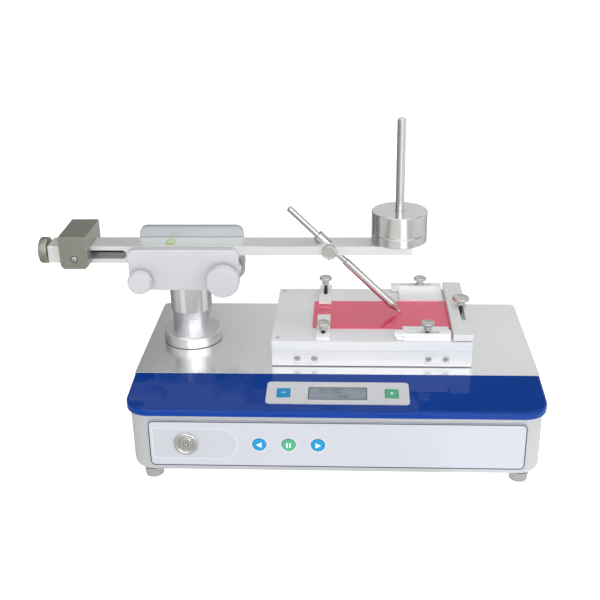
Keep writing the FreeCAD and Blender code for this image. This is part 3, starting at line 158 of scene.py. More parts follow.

# %% [markdown]
# ## One recipe for all finishes
# A real surface is never one flat colour. It has broad patches and a fine grain that also moves its gloss and
# its height. Its edges get a painted highlight in an edge colour, or painted shade where that colour is dark.
# The Bevel node finds the edges and also rounds them for the eye, so the solids stay sharp. Patch, grain,
# bump and edge are real sizes in millimetres.

# %% The recipe
BROAD_SHARE, FINE_SHARE = 0.6, 0.4
BROAD_DETAIL, FINE_DETAIL = 2.0, 3.0
FLAKE_SIZE, FLAKE_SHARPNESS = 0.35, 6.0
EDGE_LIGHT_GAIN, EDGE_LIGHT_LIMIT, BEVEL_SAMPLES = 1.6, 0.35, 4


def flaked(tree, tone, amount):
    """Paint with bright aluminium flakes. Real ones are about 0.05 mm, too fine to show, so they are drawn
    at 0.35 mm."""
    place = add(tree, "TexCoord").outputs["Object"]
    cells = add(tree, "TexVoronoi", Vector=place, Scale=1 / (FLAKE_SIZE * MM)).outputs["Color"]
    speck = add(tree, "SeparateColor", Color=cells)
    bright = add(tree, "Math", {"operation": "POWER"}, i0=speck, i1=FLAKE_SHARPNESS)
    share = add(tree, "Math", {"operation": "MULTIPLY"}, i0=bright, i1=amount)
    return add(tree, "Mix", {"data_type": "RGBA"}, i0=share, i6=tone, i7=WHITE).outputs[2]


def painted_edge_light(tree, tone, rounded, edge_code):
    """Paints the edges in another colour where the rounded normal leaves the true one: a painted highlight,
    or painted shade where that colour is dark.
    """
    true = add(tree, "NewGeometry").outputs["Normal"]
    same = add(tree, "VectorMath", {"operation": "DOT_PRODUCT"}, i0=rounded, i1=true).outputs["Value"]
    bend = add(tree, "Math", {"operation": "SUBTRACT"}, i0=1.0, i1=same)
    edge_light_amount = add(tree, "Math", {"operation": "MULTIPLY"}, i0=bend, i1=EDGE_LIGHT_GAIN)
    share = add(tree, "Math", {"operation": "MINIMUM"}, i0=edge_light_amount, i1=EDGE_LIGHT_LIMIT)
    return add(tree, "Mix", {"data_type": "RGBA"}, i0=share, i6=tone, i7=colour(edge_code)).outputs[2]


def surface(name, code, metal=0.0, rough=0.4, rough_swing=0.1, tint=0.06, patch=40.0, grain=0.8,
            bump=0.01, coat=0.0, coat_rough=0.08, pattern=(1, 1, 1), centre=None, edge=0.0,
            edge_code="#F4F4F2", flakes=0.0, ior=1.5, bands=()):
    """A finish: broad patches, a fine grain that moves gloss and height, and rounded edges with a painted
    highlight.
    """
    material = bpy.data.materials.new(name)
    material.use_nodes = True
    tree = material.node_tree
    tree.nodes.clear()
    place = add(tree, "TexCoord").outputs["Object"]
    broad = add(tree, "TexNoise", Vector=place, Scale=1 / (patch * MM), Detail=BROAD_DETAIL)
    fine = add(tree, "TexNoise", Vector=grain_place(tree, pattern, centre), Scale=1 / (grain * MM),
               Detail=FINE_DETAIL)
    dark = [part * (1 - tint) for part in colour(code)[:3]] + [1.0]
    light = [min(1.0, part * (1 + tint)) for part in colour(code)[:3]] + [1.0]
    fine_part = add(tree, "Math", {"operation": "MULTIPLY"}, i0=fine, i1=FINE_SHARE)
    share = add(tree, "Math", {"operation": "MULTIPLY_ADD"}, i0=broad, i1=BROAD_SHARE, i2=fine_part)
    tone = add(tree, "Mix", {"data_type": "RGBA"}, i0=share, i6=dark, i7=light).outputs[2]
    if flakes:
        tone = flaked(tree, tone, flakes)
    height = add(tree, "Bump", Strength=1.0, Distance=bump * MM, Height=fine)
    # Painted highlight: the edges take the edge colour, which is dark on the rear cheek as painted shade.
    if edge:
        rounded_normal = add(tree, "Bevel", {"samples": BEVEL_SAMPLES}, Radius=edge * MM).outputs[0]
        tone = painted_edge_light(tree, tone, rounded_normal, edge_code)
        tree.links.new(rounded_normal, height.inputs["Normal"])
    if bands:
        tone = painted_room_reflection(tree, tone, centre, bands)
    above = add(tree, "Math", {"operation": "SUBTRACT"}, i0=fine, i1=0.5)
    gloss = add(tree, "Math", {"operation": "MULTIPLY_ADD"}, i0=above, i1=rough_swing * 2, i2=rough)
    shader = add(tree, "BsdfPrincipled", Base_Color=tone, Metallic=metal, Roughness=gloss, Normal=height,
                 Coat_Weight=coat, Coat_Roughness=coat_rough, IOR=ior)
    add(tree, "OutputMaterial", Surface=shader)
    return material


print("a flake of", FLAKE_SIZE, "mm is a scale of", round(1 / (FLAKE_SIZE * MM)))

# %% [markdown]
# ## Paint, film and moulded pieces
# The case is sheet metal under paint, and the fascia and the display plate are thin plastic films with a
# print on their back. Paint is a base layer under a clear one, which the coat of the Principled shader
# stands for.

# %% Finishes of the case
# Silver metallic enamel, sprayed: its aluminium flakes make it a satin mirror that follows the room's light.
LID = surface("silver_metallic_enamel", "#F8F9FA", metal=0.90, rough=0.21, grain=0.5, bump=0.002, tint=0.04,
              patch=70, flakes=0.12, coat=0.35, coat_rough=0.10, edge=0.8)
# Deep blue enamel, sprayed: an even blue, with a paler painted highlight where the sheet bends. The IOR of
# enamel is about 1.5, and is matched down to the faint sheen in the photograph.
NOSE = surface("deep_blue_enamel", "#043A92", rough=0.45, grain=2.5, bump=0.002, tint=0.08, patch=90,
               coat=0.45, coat_rough=0.03, edge=0.9, edge_code="#5A86CC", rough_swing=0.05, ior=1.10)
# Pearl grey powder coat, baked: soft and pale, with a faint sparkle and no sharp reflections.
CASE = surface("pearl_grey_powder_coat", "#BABCBE", metal=0.25, rough=0.45, grain=0.5, bump=0.006, tint=0.03,
               patch=90, flakes=0.3, coat=0.3, coat_rough=0.2, edge=0.6)
# Polyester film with a silver print on its back: smooth, cool and a little duller than metal.
FASCIA = surface("silver_printed_polyester_film", "#C8CAD3", metal=0.12, rough=0.46, grain=0.35, bump=0.008,
                 tint=0.02, patch=60, edge=0.4)
# The same film over a darker print, which sets the button's field apart.
FIELD = surface("grey_printed_polyester_film", "#C4C6CE", metal=0.12, rough=0.46, grain=0.35, bump=0.008,
                tint=0.02, patch=60)
# The film of the display plate, printed a lighter silver.
PLATE = surface("pale_printed_polyester_film", "#D4D5D8", rough=0.46, grain=0.35, bump=0.008, tint=0.02,
                patch=30, edge=0.4)
# Zinc plated sheet steel, pressed: a dull grey mirror, clouded in patches of some 6 mm.
ZINC = surface("zinc_plated_sheet_steel", "#A9ABA8", metal=0.9, rough=0.38, grain=6.0, tint=0.12, patch=20,
               edge=0.5)
# Grey rubber, moulded: matt and even.
FOOT = surface("grey_moulded_rubber", "#9C9C9A", rough=0.55, grain=0.6, bump=0.02, tint=0.03, edge=0.6)
# Black nylon, moulded: the mains inlet is matt, with a slight sheen on its edges.
INLET = surface("black_moulded_nylon", "#161616", rough=0.5, grain=0.7, bump=0.03, tint=0.1, patch=12,
                edge=0.5)
# Glass-fibre board under green solder lacquer: dark, with a wet gloss.
BOARD = surface("green_lacquered_board", "#1B4A2A", rough=0.4, grain=0.8, tint=0.1, patch=12, coat=0.5,
                edge=0.2)
print("finishes of the case:", len(bpy.data.materials))

# %% [markdown]
# ## Aluminium
# Most of what stands on the case is aluminium. Blasted and anodised it looks like pearl, brushed it shows
# fine lines, and fresh from the mill it is almost white. The photograph is lit so softly that the pale
# pieces mirror little, so their metallic value is matched to it and stays low. Tool marks are 0.02 to 0.1
# mm apart, too fine to show, so they are drawn at 0.25 to 0.45 mm.

# %% Finishes of the aluminium pieces
ALONG_X, ALONG_Y, ROUND_Z = (0.02, 1, 1), (1, 0.02, 1), (0, 0, 1)
post_mid = span("column_post")[2]
# Blasted and clear anodised: an even, pearly grey without lines.
PEARL = surface("blasted_anodised_aluminium", "#DADBDF", metal=0.30, rough=0.42, grain=0.30, bump=0.008,
                tint=0.025, patch=30, edge=0.7, edge_code="#FFFFFF")
# The rear cheek is the same aluminium with painted shade: a darker, bluish tone and a dark rim stand for the
# dark side of the room that it mirrors.
REAR = surface("blasted_anodised_aluminium_shaded", "#C8D0D3", metal=0.55, rough=0.33, grain=0.30, bump=0.008,
               tint=0.03, patch=30, edge=0.8, edge_code="#7C8488")
# Brushed along its length and anodised: the beam shows faint streaks from end to end.
BEAM = surface("brushed_anodised_aluminium", "#E8E8E8", metal=0.38, rough=0.34, grain=0.25, bump=0.006,
               tint=0.04, pattern=ALONG_X, patch=40, edge=0.4)
# Milled along its length: the table is near white, and its crisp bright edges are a painted highlight.
TABLE = surface("milled_aluminium_plate", "#F4F5F7", metal=0.10, rough=0.34, grain=0.30, bump=0.006,
                tint=0.03, pattern=ALONG_X, patch=50, edge=0.5, edge_code="#FFFFFF")
# Milled across the table: the end bar's lines run from front to back.
BAR = surface("milled_aluminium_bar", "#EEEFF0", metal=0.12, rough=0.33, grain=0.25, bump=0.006, tint=0.03,
              pattern=ALONG_Y, patch=30, edge=0.5, edge_code="#FFFFFF")
# Bright milled: the straps and guides are the whitest pieces of all.
GUIDE = surface("bright_milled_aluminium", "#FFFFFF", metal=0.08, rough=0.32, grain=0.25, bump=0.004,
                tint=0.02, pattern=ALONG_X, patch=30, edge=0.5, edge_code="#FFFFFF")
# Turned on a lathe: the socket has fine rings, and one soft bright band towards the front is a painted
# reflection.
SOCKET = surface("turned_aluminium", "#F0F1F3", metal=0.75, rough=0.30, grain=0.45, bump=0.0012, tint=0.05,
                 pattern=ROUND_Z, centre=post_mid, edge=0.4,
                 bands=((0.0, 0.50), (0.04, 0.45), (0.13, 0.62), (0.20, 0.82), (0.25, 0.92), (0.335, 0.92),
                        (0.38, 0.86), (0.45, 0.78), (0.54, 0.50), (0.75, 0.8), (1.0, 0.50)))
print("finishes with the aluminium:", len(bpy.data.materials))

# %% [markdown]
# ## Steel, nickel and brass
# The post, the rod and the weights are ground or turned steel. They mirror the most, so they carry the
# painted reflection of the room in bands. Small screws and knobs are nickel plated. Their rings and grinding
# lines are drawn as coarse as the aluminium's, for the same reason.

# %% Finishes of the steel pieces
weight_mid = span("main_weight")[2]
# Hard chromed and polished: the post is bright; two narrow windows and its dark edges are a painted
# reflection of the room.
POST = surface("polished_chromed_steel", "#FBFAF8", metal=0.45, rough=0.24, grain=0.25, bump=0.002, tint=0.05,
               pattern=ROUND_Z, centre=post_mid, edge=0.4, rough_swing=0.05,
               bands=((0.0, 0.45), (0.04, 0.30), (0.117, 0.38), (0.15, 0.66), (0.185, 0.68), (0.20, 1.0),
                      (0.222, 1.0), (0.235, 0.66), (0.30, 0.64), (0.36, 0.58), (0.375, 1.0), (0.405, 1.0),
                      (0.425, 0.60), (0.467, 0.42), (0.54, 0.40), (0.75, 0.8), (1.0, 0.45)))
# Centreless ground: the weights' rod is painted half dark and half light, with one white line, as a
# reflection of the room.
ROD = surface("ground_steel_rod", "#E6E6E4", metal=0.45, rough=0.26, grain=0.30, bump=0.002, tint=0.04,
              pattern=ROUND_Z, centre=weight_mid, edge=0.4,
              bands=((0.0, 0.35), (0.10, 0.32), (0.17, 0.40), (0.19, 0.58), (0.225, 0.60), (0.24, 0.95),
                     (0.275, 1.0), (0.295, 0.74), (0.48, 0.66), (0.60, 0.8), (1.0, 0.35)))
# Turned stainless steel: dark streaks at the left and one hard white strip on the weights are a painted
# reflection of the room.
WEIGHT = surface("turned_stainless_steel", "#F2F2F0", metal=0.82, rough=0.13, grain=0.30, bump=0.004,
                 tint=0.07, pattern=ROUND_Z, centre=weight_mid, edge=0.4,
                 bands=((0.0, 0.50), (0.047, 0.60), (0.06, 0.36), (0.08, 0.56), (0.095, 0.32), (0.118, 0.46),
                        (0.13, 1.0), (0.225, 1.0), (0.285, 1.0), (0.30, 0.80), (0.39, 0.82), (0.46, 0.60),
                        (0.60, 0.8), (1.0, 0.60)))
# Bright drawn steel: the stylus mirrors the room in sharp stripes along its length.
STEEL = surface("bright_drawn_steel", "#CFCFCC", metal=1.0, rough=0.20, grain=0.4, bump=0.003, tint=0.06,
                patch=12, edge=0.3)
# Nickel plated brass: the thumbscrews are a warm, soft mirror.
NICKEL = surface("nickel_plated_brass", "#E0E0DC", metal=0.95, rough=0.27, grain=0.5, bump=0.004, tint=0.05,
                 patch=9, edge=0.4, edge_code="#FFFFFF")
# Brushed steel, left bare: the counterweight is a dull warm grey, and its bright edges are a painted
# highlight.
BLOCK = surface("brushed_bare_steel", "#A4A69A", metal=0.68, rough=0.36, grain=0.28, bump=0.010, tint=0.09,
                pattern=ALONG_Y, patch=25, edge=0.9, edge_code="#F2F2EC")
# Zinc plated screws: small bright heads.
SCREW = surface("zinc_plated_screw_steel", "#DADBDC", metal=0.7, rough=0.30, grain=0.6, tint=0.08, patch=6,
                edge=0.2)
# Steel: the tail screw's thread is dark all over, a painted shade of the slot in the beam's tail where it
# sits.
SLOT_SHADE_STEEL = surface("thread_steel_with_painted_slot_shade", "#484C48", metal=0.8, rough=0.28, grain=0.5, tint=0.12, patch=8,
                edge=0.2)
# Black oxide: the thumbscrews' shanks are nearly black.
THREAD = surface("black_oxide_steel", "#33363A", metal=0.7, rough=0.35, grain=0.5, tint=0.15, patch=6,
                 edge=0.15)
print("finishes with the steel:", len(bpy.data.materials))

# %% [markdown]
# ## Colour, print and glass
# Screen ink is a thin matt layer, so it gets a plain shader with a slight unevenness. Glass and the level's
# spirit could be seen through, but the photograph shows neither what is behind the display nor the bottom
# of the vial, so both are solid colour under a clear coat, which also renders fast.

# %% Finishes of the small parts
# Red enamel on a steel test panel, sprayed: glossy, and pale where the light grazes it.
PANEL = surface("red_enamel_test_panel", "#F03868", rough=0.30, grain=1.6, bump=0.010, tint=0.05, patch=40,
                coat=0.9, coat_rough=0.08, edge=0.4, edge_code="#F0B4C0")
# Membrane keys of film over a colour print: clear and matt, with a painted highlight on their rims. Their IOR
# is matched down too.
KEY_BLUE = surface("blue_membrane_key", "#1092C8", rough=0.5, grain=0.5, tint=0.04, patch=8, coat=0.1,
                   edge=0.4, edge_code="#4BB4E6", ior=1.35)
KEY_GREEN = surface("green_membrane_key", "#52AE84", rough=0.5, grain=0.5, tint=0.04, patch=8, coat=0.1,
                    edge=0.4, edge_code="#84CDA4", ior=1.35)
# Screen inks: white signs, a slate outline, dark signs on metal, and pale lines that look embossed. The dark
# ink also paints the shade in the gap round the counterweight's nut.
INK_WHITE = surface("white_screen_ink", "#F6F8FA", rough=0.5, grain=0.4, tint=0.02, patch=8)
INK_GREY = surface("slate_screen_ink", "#4A5464", rough=0.5, grain=0.4, tint=0.04, patch=12)
DARK_INK_AND_GAP_SHADE = surface("dark_screen_ink_and_gap_shade", "#3C424A", rough=0.5, grain=0.4, tint=0.06, patch=8)
EMBOSS = surface("embossed_film_line", "#D2D4DC", rough=0.4, grain=0.4, tint=0.02, patch=12)
# Shade in narrow gaps: it is drawn as dull paint, because so thin a gap would vanish in the render.
PALE = surface("shallow_gap_shade", "#B6B8BE", rough=0.5, grain=0.4, tint=0.03, patch=12)
HOLE = surface("deep_gap_shade", "#5C5E60", rough=0.7, grain=0.6, tint=0.1, patch=5)
# Liquid crystal glass: grey-blue, with cloudy patches of about 11 mm that are a painted reflection of a dim
# room.
LCD = surface("liquid_crystal_glass", "#8896A0", rough=0.12, grain=0.9, tint=0.40, patch=11, coat=1.0,
              coat_rough=0.03)
LCD_INK = surface("liquid_crystal_figures", "#26323C", rough=0.3, grain=0.4, tint=0.05, patch=6, coat=0.8)
# Green spirit under glass, with a paler bubble.
VIAL = surface("green_spirit_glass", "#B4CE86", rough=0.10, grain=1.5, tint=0.10, patch=4, coat=0.8)
BUBBLE = surface("spirit_bubble_glass", "#DDF0B0", rough=0.05, grain=1.0, tint=0.05, patch=3, coat=1.0)
print("finishes in all:", len(bpy.data.materials))

# %% [markdown]
# ## Dress the solids
# The solids stay as they were packed, and only the material in each of their slots is set. The slot's link
# is the object and not the mesh, so nodes that share a mesh could still differ.

# %% Assign the finishes
FINISHES = {
    LID: ["top_cover"],
    NOSE: ["nose_cover"],
    CASE: ["case_shell"],
    FASCIA: ["fascia_plate"],
    PLATE: ["display_plate"],
    ZINC: ["bottom_plate", "drive_motor", "slide_bridge", "slide_carriages"],
    FOOT: ["feet"],
    INLET: ["power_inlet"],
    BOARD: ["control_board"],
    PEARL: ["front_cheek", "front_lift_knob", "rear_lift_knob", "lock_knob"],
    REAR: ["rear_cheek"],
    BEAM: ["beam", "tail_end_block"],
    TABLE: ["table_plate", "table_apron"],
    BAR: ["end_bar"],
    GUIDE: ["front_strap", "rear_strap", "front_guide", "rear_guide"],
    SOCKET: ["column_socket"],
    POST: ["column_post"],
    ROD: ["weight_rod"],
    WEIGHT: ["main_weight", "lower_weight"],
    STEEL: ["stylus_rod", "stylus_holder", "stylus_tip", "pivot_axle", "lift_shaft", "pivot_bearings",
            "slide_rails", "slide_screw", "table_screws", "tail_screw"],
    NICKEL: ["stylus_thumbscrew", "front_strap_thumbscrew", "rear_strap_thumbscrew", "front_guide_thumbscrew",
             "rear_guide_thumbscrew", "end_bar_thumbscrew", "power_button_body", "power_button_cap",
             "counterweight_nut"],
    BLOCK: ["counterweight", "tail_knob"],
    PANEL: ["test_panel"],
    KEY_BLUE: ["reverse_key", "forward_key", "minus_key"],
    KEY_GREEN: ["pause_key", "plus_key"],
    LCD: ["display_window"],
    VIAL: ["bubble_level"],
}
for finish, names in FINISHES.items():
    for name in names:
        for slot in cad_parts[name].material_slots:
            slot.link = "OBJECT"
            slot.material = finish
print("dressed nodes:", sum(len(names) for names in FINISHES.values()))

# %% [markdown]
# ## Camera
# The lens, the place and the angles of the camera were solved from the edges of the case, the lid and the
# table in the photograph. A camera looks along its own -Z with +Y up, so its matrix is built from those three
# directions.

# %% Place the camera
LENS, SENSOR = 57.70, 36.0
PITCH, YAW, ROLL = (math.radians(angle) for angle in (23.78, -3.38, -1.13))
EYE_RIGHT_OF_CASE, EYE_Y, EYE_HEIGHT = 17.0, -934.5, 561.1
scene = bpy.context.scene
forward = Vector((math.sin(YAW) * math.cos(PITCH), math.cos(YAW) * math.cos(PITCH), -math.sin(PITCH)))
level_right = Vector((math.cos(YAW), -math.sin(YAW), 0))
level_up = level_right.cross(forward)
right = level_right * math.cos(ROLL) + level_up * math.sin(ROLL)
up = level_up * math.cos(ROLL) - level_right * math.sin(ROLL)
eye = Vector((span("case_shell")[2].x + EYE_RIGHT_OF_CASE, EYE_Y, EYE_HEIGHT)) * MM
camera = bpy.data.objects.new("camera", bpy.data.cameras.new("camera"))
scene.collection.objects.link(camera)
camera.data.lens = LENS
camera.data.sensor_width = SENSOR
camera.matrix_world = Matrix.Translation(eye) @ Matrix((right, up, -forward)).transposed().to_4x4()
scene.camera = camera
scene.view_settings.view_transform = "Standard"
print("camera at", [round(part, 3) for part in eye])

# %% [markdown]
# ## Lamps
# The product was shot in a light tent, so its shadows are soft and the front faces are as bright as the
# tops. Four large rectangles do the same. They are weak, so that a colour renders about as it is written.
# Their places and sizes are in metres and their power is in watts.

# %% Place the lamps
def lamp(name, place, target, size, power):
    """A soft rectangular light that faces a target point."""
    data = bpy.data.lights.new(name, "AREA")
    data.shape = "RECTANGLE"
    data.size, data.size_y = size
    data.energy = power
    thing = bpy.data.objects.new(name, data)
    scene.collection.objects.link(thing)
    aim = (Vector(target) - Vector(place)).to_track_quat("-Z", "Y")
    thing.matrix_world = Matrix.Translation(place) @ aim.to_matrix().to_4x4()
    print(name, power, "W")


middle = (0, 0, 0.1)
lamp("key_light", (-0.9, -1.3, 1.7), middle, (1.2, 0.9), 6)
lamp("fill_light", (1.5, -1.2, 0.9), middle, (1.1, 1.1), 5)
lamp("top_light", (0.1, 0.5, 1.9), middle, (2.2, 1.2), 6)
lamp("front_light", (0.3, -1.9, 0.75), (0.05, 0, 0.12), (1.8, 0.8), 11)

# %% [markdown]
# ## The room round the object
# Metal shows what stands round it. The room is a ramp from the floor at 0 to the ceiling at 1, with a dark
# gap between the wall and the ceiling. The lid mirrors the wall behind it, which is dark at the left and
# bright at the right. The camera itself sees plain white, which Is Camera Ray picks out.

# %% Build the room
ROOM = ((0.0, "#D8D8D8"), (0.48, "#EDEDED"), (0.56, "#B4B4B2"), (0.755, "#E8E8E8"), (0.80, "#505050"),
        (0.86, "#6E6E6E"), (1.0, "#FFFFFF"))
LEFT_WALL = {"From_Min": -0.22, "From_Max": -0.10, "To_Min": 0.39, "To_Max": 0.92}
RIGHT_WALL = {"From_Min": -0.10, "From_Max": 0.20, "To_Min": 1.0, "To_Max": 1.28}
FRONT_LEVEL, ROOM_LEVEL = 1.15, 0.9
world = bpy.data.worlds.new("studio")
scene.world = world
world.use_nodes = True
tree = world.node_tree
tree.nodes.clear()
look = add(tree, "SeparateXYZ", Vector=add(tree, "TexCoord").outputs["Generated"])
rise = add(tree, "Math", {"operation": "MULTIPLY_ADD"}, i0=look.outputs["Z"], i1=0.5, i2=0.5)
sky = add(tree, "ValToRGB", {"stops": ROOM}, Fac=rise)
left_shade = add(tree, "MapRange", Value=look.outputs["X"], **LEFT_WALL)
right_shade = add(tree, "MapRange", Value=look.outputs["X"], **RIGHT_WALL)
shade = add(tree, "Math", {"operation": "MULTIPLY"}, i0=left_shade, i1=right_shade)
behind = add(tree, "Math", {"operation": "GREATER_THAN"}, i0=look.outputs["Y"], i1=0.0)
level = add(tree, "Mix", {"data_type": "FLOAT"}, i0=behind, i2=FRONT_LEVEL, i3=shade)
strength = add(tree, "Math", {"operation": "MULTIPLY"}, i0=level, i1=ROOM_LEVEL)
studio = add(tree, "Background", Color=sky, Strength=strength)
white = add(tree, "Background", Color=WHITE, Strength=1.0)
seen = add(tree, "LightPath").outputs["Is Camera Ray"]
add(tree, "OutputWorld", Surface=add(tree, "MixShader", i0=seen, i1=studio, i2=white))
print("room:", len(ROOM), "levels from floor to ceiling")

# %% [markdown]
# ## Floor
# The floor is a white sheet that keeps a faint shadow. What metal mirrors in it is another matter: the
# stylus and the weights show dark and bright cards that lie beside the object, so glossy rays see a row of
# cards instead. A card's place runs from 0 at x = -1 m to 1 at x = 1 m.

# %% Lay the floor
CARDS = ((0.0, "#9A9A9A"), (0.28, "#9A9A98"), (0.30, "#5A5A5A"), (0.345, "#606060"), (0.36, "#AAAAA8"),
         (0.58, "#B4B4B2"), (0.59, "#FFFFFF"), (0.70, "#FFFFFF"), (0.715, "#9E9E9E"), (1.0, "#D8D8D8"))
FLOOR_HALF, FLOOR_WHITE, FLOOR_GLOW, CARD_GLOW = 4.0, 0.92, 0.70, 1.25
sheet = bmesh.new()
bmesh.ops.create_grid(sheet, x_segments=1, y_segments=1, size=FLOOR_HALF)
floor_mesh = bpy.data.meshes.new("floor")
sheet.to_mesh(floor_mesh)
sheet.free()
# White paper: matt, with a glow of its own that lifts it to the white of the background.
floor_paper = bpy.data.materials.new("white_paper_sheet")
floor_paper.use_nodes = True
tree = floor_paper.node_tree
tree.nodes.clear()
matt = add(tree, "BsdfDiffuse", Color=(FLOOR_WHITE, FLOOR_WHITE, FLOOR_WHITE, 1.0))
glow = add(tree, "Emission", Color=WHITE, Strength=FLOOR_GLOW)
across = add(tree, "SeparateXYZ", Vector=add(tree, "TexCoord").outputs["Object"])
share = add(tree, "Math", {"operation": "MULTIPLY_ADD"}, i0=across.outputs["X"], i1=0.5, i2=0.5)
cards = add(tree, "Emission", Color=add(tree, "ValToRGB", {"stops": CARDS}, Fac=share), Strength=CARD_GLOW)
glossy = add(tree, "LightPath").outputs["Is Glossy Ray"]
paper = add(tree, "AddShader", i0=glow, i1=matt)
add(tree, "OutputMaterial", Surface=add(tree, "MixShader", i0=glossy, i1=paper, i2=cards))
floor_mesh.materials.append(floor_paper)
floor = bpy.data.objects.new("floor", floor_mesh)
scene.collection.objects.link(floor)
print("floor:", 2 * FLOOR_HALF, "m wide")

# %% [markdown]
# ## Finishing a piece
# Two operators make nearly all of the small pieces: spin, as a lathe would, and extrude, as a punch would.
# Each piece ends in the same way. Its normals are turned outwards, its faces are shaded smooth with sharp
# edges where they meet steeply, it takes its finish, and it rides on a body so that it moves with its joint.

# %% Finish a piece
SMOOTH_BELOW = 35.0


def finish_piece(name, shape, finish, body, replaces=(), second=None):
    """Turns a bmesh into an object that rides on a body. Its edges are smooth below 35 degrees."""
    bmesh.ops.recalc_face_normals(shape, faces=shape.faces)
    mesh = bpy.data.meshes.new(name)
    shape.to_mesh(mesh)
    shape.free()
    for polygon in mesh.polygons:
        polygon.use_smooth = True
    mesh.materials.append(finish)
    if second:
        mesh.materials.append(second)
    thing = bpy.data.objects.new(name, mesh)
    scene.collection.objects.link(thing)
    mesh.set_sharp_from_angle(angle=math.radians(SMOOTH_BELOW))
    if replaces:
        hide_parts(*replaces)
    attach(thing, body)
    print(name, "on", body, "with", len(mesh.polygons), "faces")


# %% [markdown]
# ## Turning and knurling
# Bezel, knobs and screws are turned on a lathe. They could be put together from cylinders and cones, but a
# turned piece is one skin, so its profile is drawn as a line of points and spun once round. Spin merges the
# last ring with the first, and its two open ends are filled. A knurl then presses some of the vertices
# inwards.

# %% Turn a profile
def crosswise(axis):
    """Two unit vectors at right angles to an axis, the first as near to up as it can be."""
    side = Z_AXIS if abs(axis.z) < 0.9 else X_AXIS
    first = (side - axis * axis.dot(side)).normalized()
    return first, axis.cross(first)


def turned(shape, start, axis, profile, steps=64):
    """Spins a profile of radii and heights in millimetres round an axis and closes both of its ends."""
    axis, start = Vector(axis), Vector(start)
    spoke = crosswise(axis)[0]
    points = [shape.verts.new((start + axis * height + spoke * radius) * MM) for radius, height in profile]
    line = [shape.edges.new(pair) for pair in zip(points, points[1:])]
    bmesh.ops.spin(shape, geom=points + line, cent=start * MM, axis=axis, dvec=(0, 0, 0), angle=2 * math.pi,
                   steps=steps, use_merge=True, use_duplicate=False)
    bmesh.ops.edgeloop_fill(shape, edges=[edge for edge in shape.edges if edge.is_boundary])


def knurled(shape, start, axis, teeth, depth, low, high):
    """Presses straight teeth into the rim of a turned piece, between two heights."""
    axis, start = Vector(axis), Vector(start)
    first, second = crosswise(axis)
    for vertex in shape.verts:
        offset = vertex.co / MM - start
        if low <= offset.dot(axis) <= high:
            turn = math.atan2(offset.dot(second), offset.dot(first)) / (2 * math.pi) % 1.0
            if int(turn * 2 * teeth + 0.01) % 2:
                inward = -(first * offset.dot(first) + second * offset.dot(second)).normalized()
                vertex.co += inward * depth * MM


print("an upright axis starts its spin towards", list(crosswise(Z_AXIS)[0]))

# %% [markdown]
# ## Thin plates
# Prints, signs and rims are flat and thin. A filled curve would do, but it has to be turned into a mesh
# afterwards. So one face is drawn from its outline, or two outlines are bridged where there is a hole, and
# the face is extruded to its thickness.

# %% Punch a plate
FRONT, TOP = (X_AXIS, Z_AXIS), (X_AXIS, Y_AXIS)


def slab(shape, outline, origin, u_axis, v_axis, thick, hole=None):
    """A flat plate from an outline of (u, v) points, maybe with a hole of as many points. Its thickness
    stands along u x v."""
    def closed_loop(points):
        verts = [shape.verts.new((Vector(origin) + u_axis * u + v_axis * v) * MM) for u, v in points]
        return verts, [shape.edges.new(pair) for pair in zip(verts, verts[1:] + verts[:1])]

    verts, edges = closed_loop(outline)
    if hole is None:
        faces = [shape.faces.new(verts)]
    else:
        faces = bmesh.ops.bridge_loops(shape, edges=edges + closed_loop(hole)[1])["faces"]
    lifted = bmesh.ops.extrude_face_region(shape, geom=faces)["geom"]
    bmesh.ops.translate(shape, vec=u_axis.cross(v_axis) * thick * MM,
                        verts=[part for part in lifted if isinstance(part, bmesh.types.BMVert)])


# %% [markdown]
# ## Outlines
# Punched and printed shapes are nearly always rectangles with round corners, circles and arcs. Each is a
# list of points that `slab` takes, so a few short functions serve every print on the object.

# %% Outlines
def rounded(width, height, radius, steps=8, middle=(0.0, 0.0)):
    """A rectangle with round corners."""
    points = []
    for corner, (sx, sy) in enumerate(((1, 1), (-1, 1), (-1, -1), (1, -1))):
        for step in range(steps + 1):
            angle = math.pi / 2 * (corner + step / steps)
            points.append((middle[0] + sx * (width / 2 - radius) + radius * math.cos(angle),
                           middle[1] + sy * (height / 2 - radius) + radius * math.sin(angle)))
    return points


def box_outline(half_width, half_height, middle=(0.0, 0.0)):
    """A rectangle with square corners."""
    corners = ((-1, -1), (1, -1), (1, 1), (-1, 1))
    return [(middle[0] + u * half_width, middle[1] + v * half_height) for u, v in corners]


def circle(radius, steps=48):
    """A circle, or a hexagon where it has six steps."""
    return arc(radius, 0, 360 - 360 / steps, steps - 1)


def arc(radius, start, end, steps):
    """Points along an arc, between two angles in degrees."""
    angles = [math.radians(start + (end - start) * step / steps) for step in range(steps + 1)]
    return [(radius * math.cos(angle), radius * math.sin(angle)) for angle in angles]


print("points: rounded", len(rounded(4, 2, 1)), "circle", len(circle(1)), "quarter", len(arc(1, 0, 90, 8)))


# %% [markdown]
# ## Prints on the fascia
# The film carries a slate outline, a field with a half round end round the power button, and a pale halo
# round each key. On the real film they are ink and a slight emboss. An image could show them, but plates a
# few hundredths of a millimetre thick stay sharp and also reach the exported mesh. They are sunk a little,
# so no face hovers over the film.

# %% Outline and field
SINK = 0.01
face_low, face_high, face_mid = span("fascia_plate")
face_width, face_height = face_high.x - face_low.x, face_high.z - face_low.z


def on_fascia(x, z):
    """A point just under the face of the fascia."""
    return Vector((x, face_low.y + SINK, z))


def film_outline(smaller, radius):
    """The film's own shape, a little smaller, with round corners."""
    return rounded(face_width - smaller, face_height - smaller, radius)


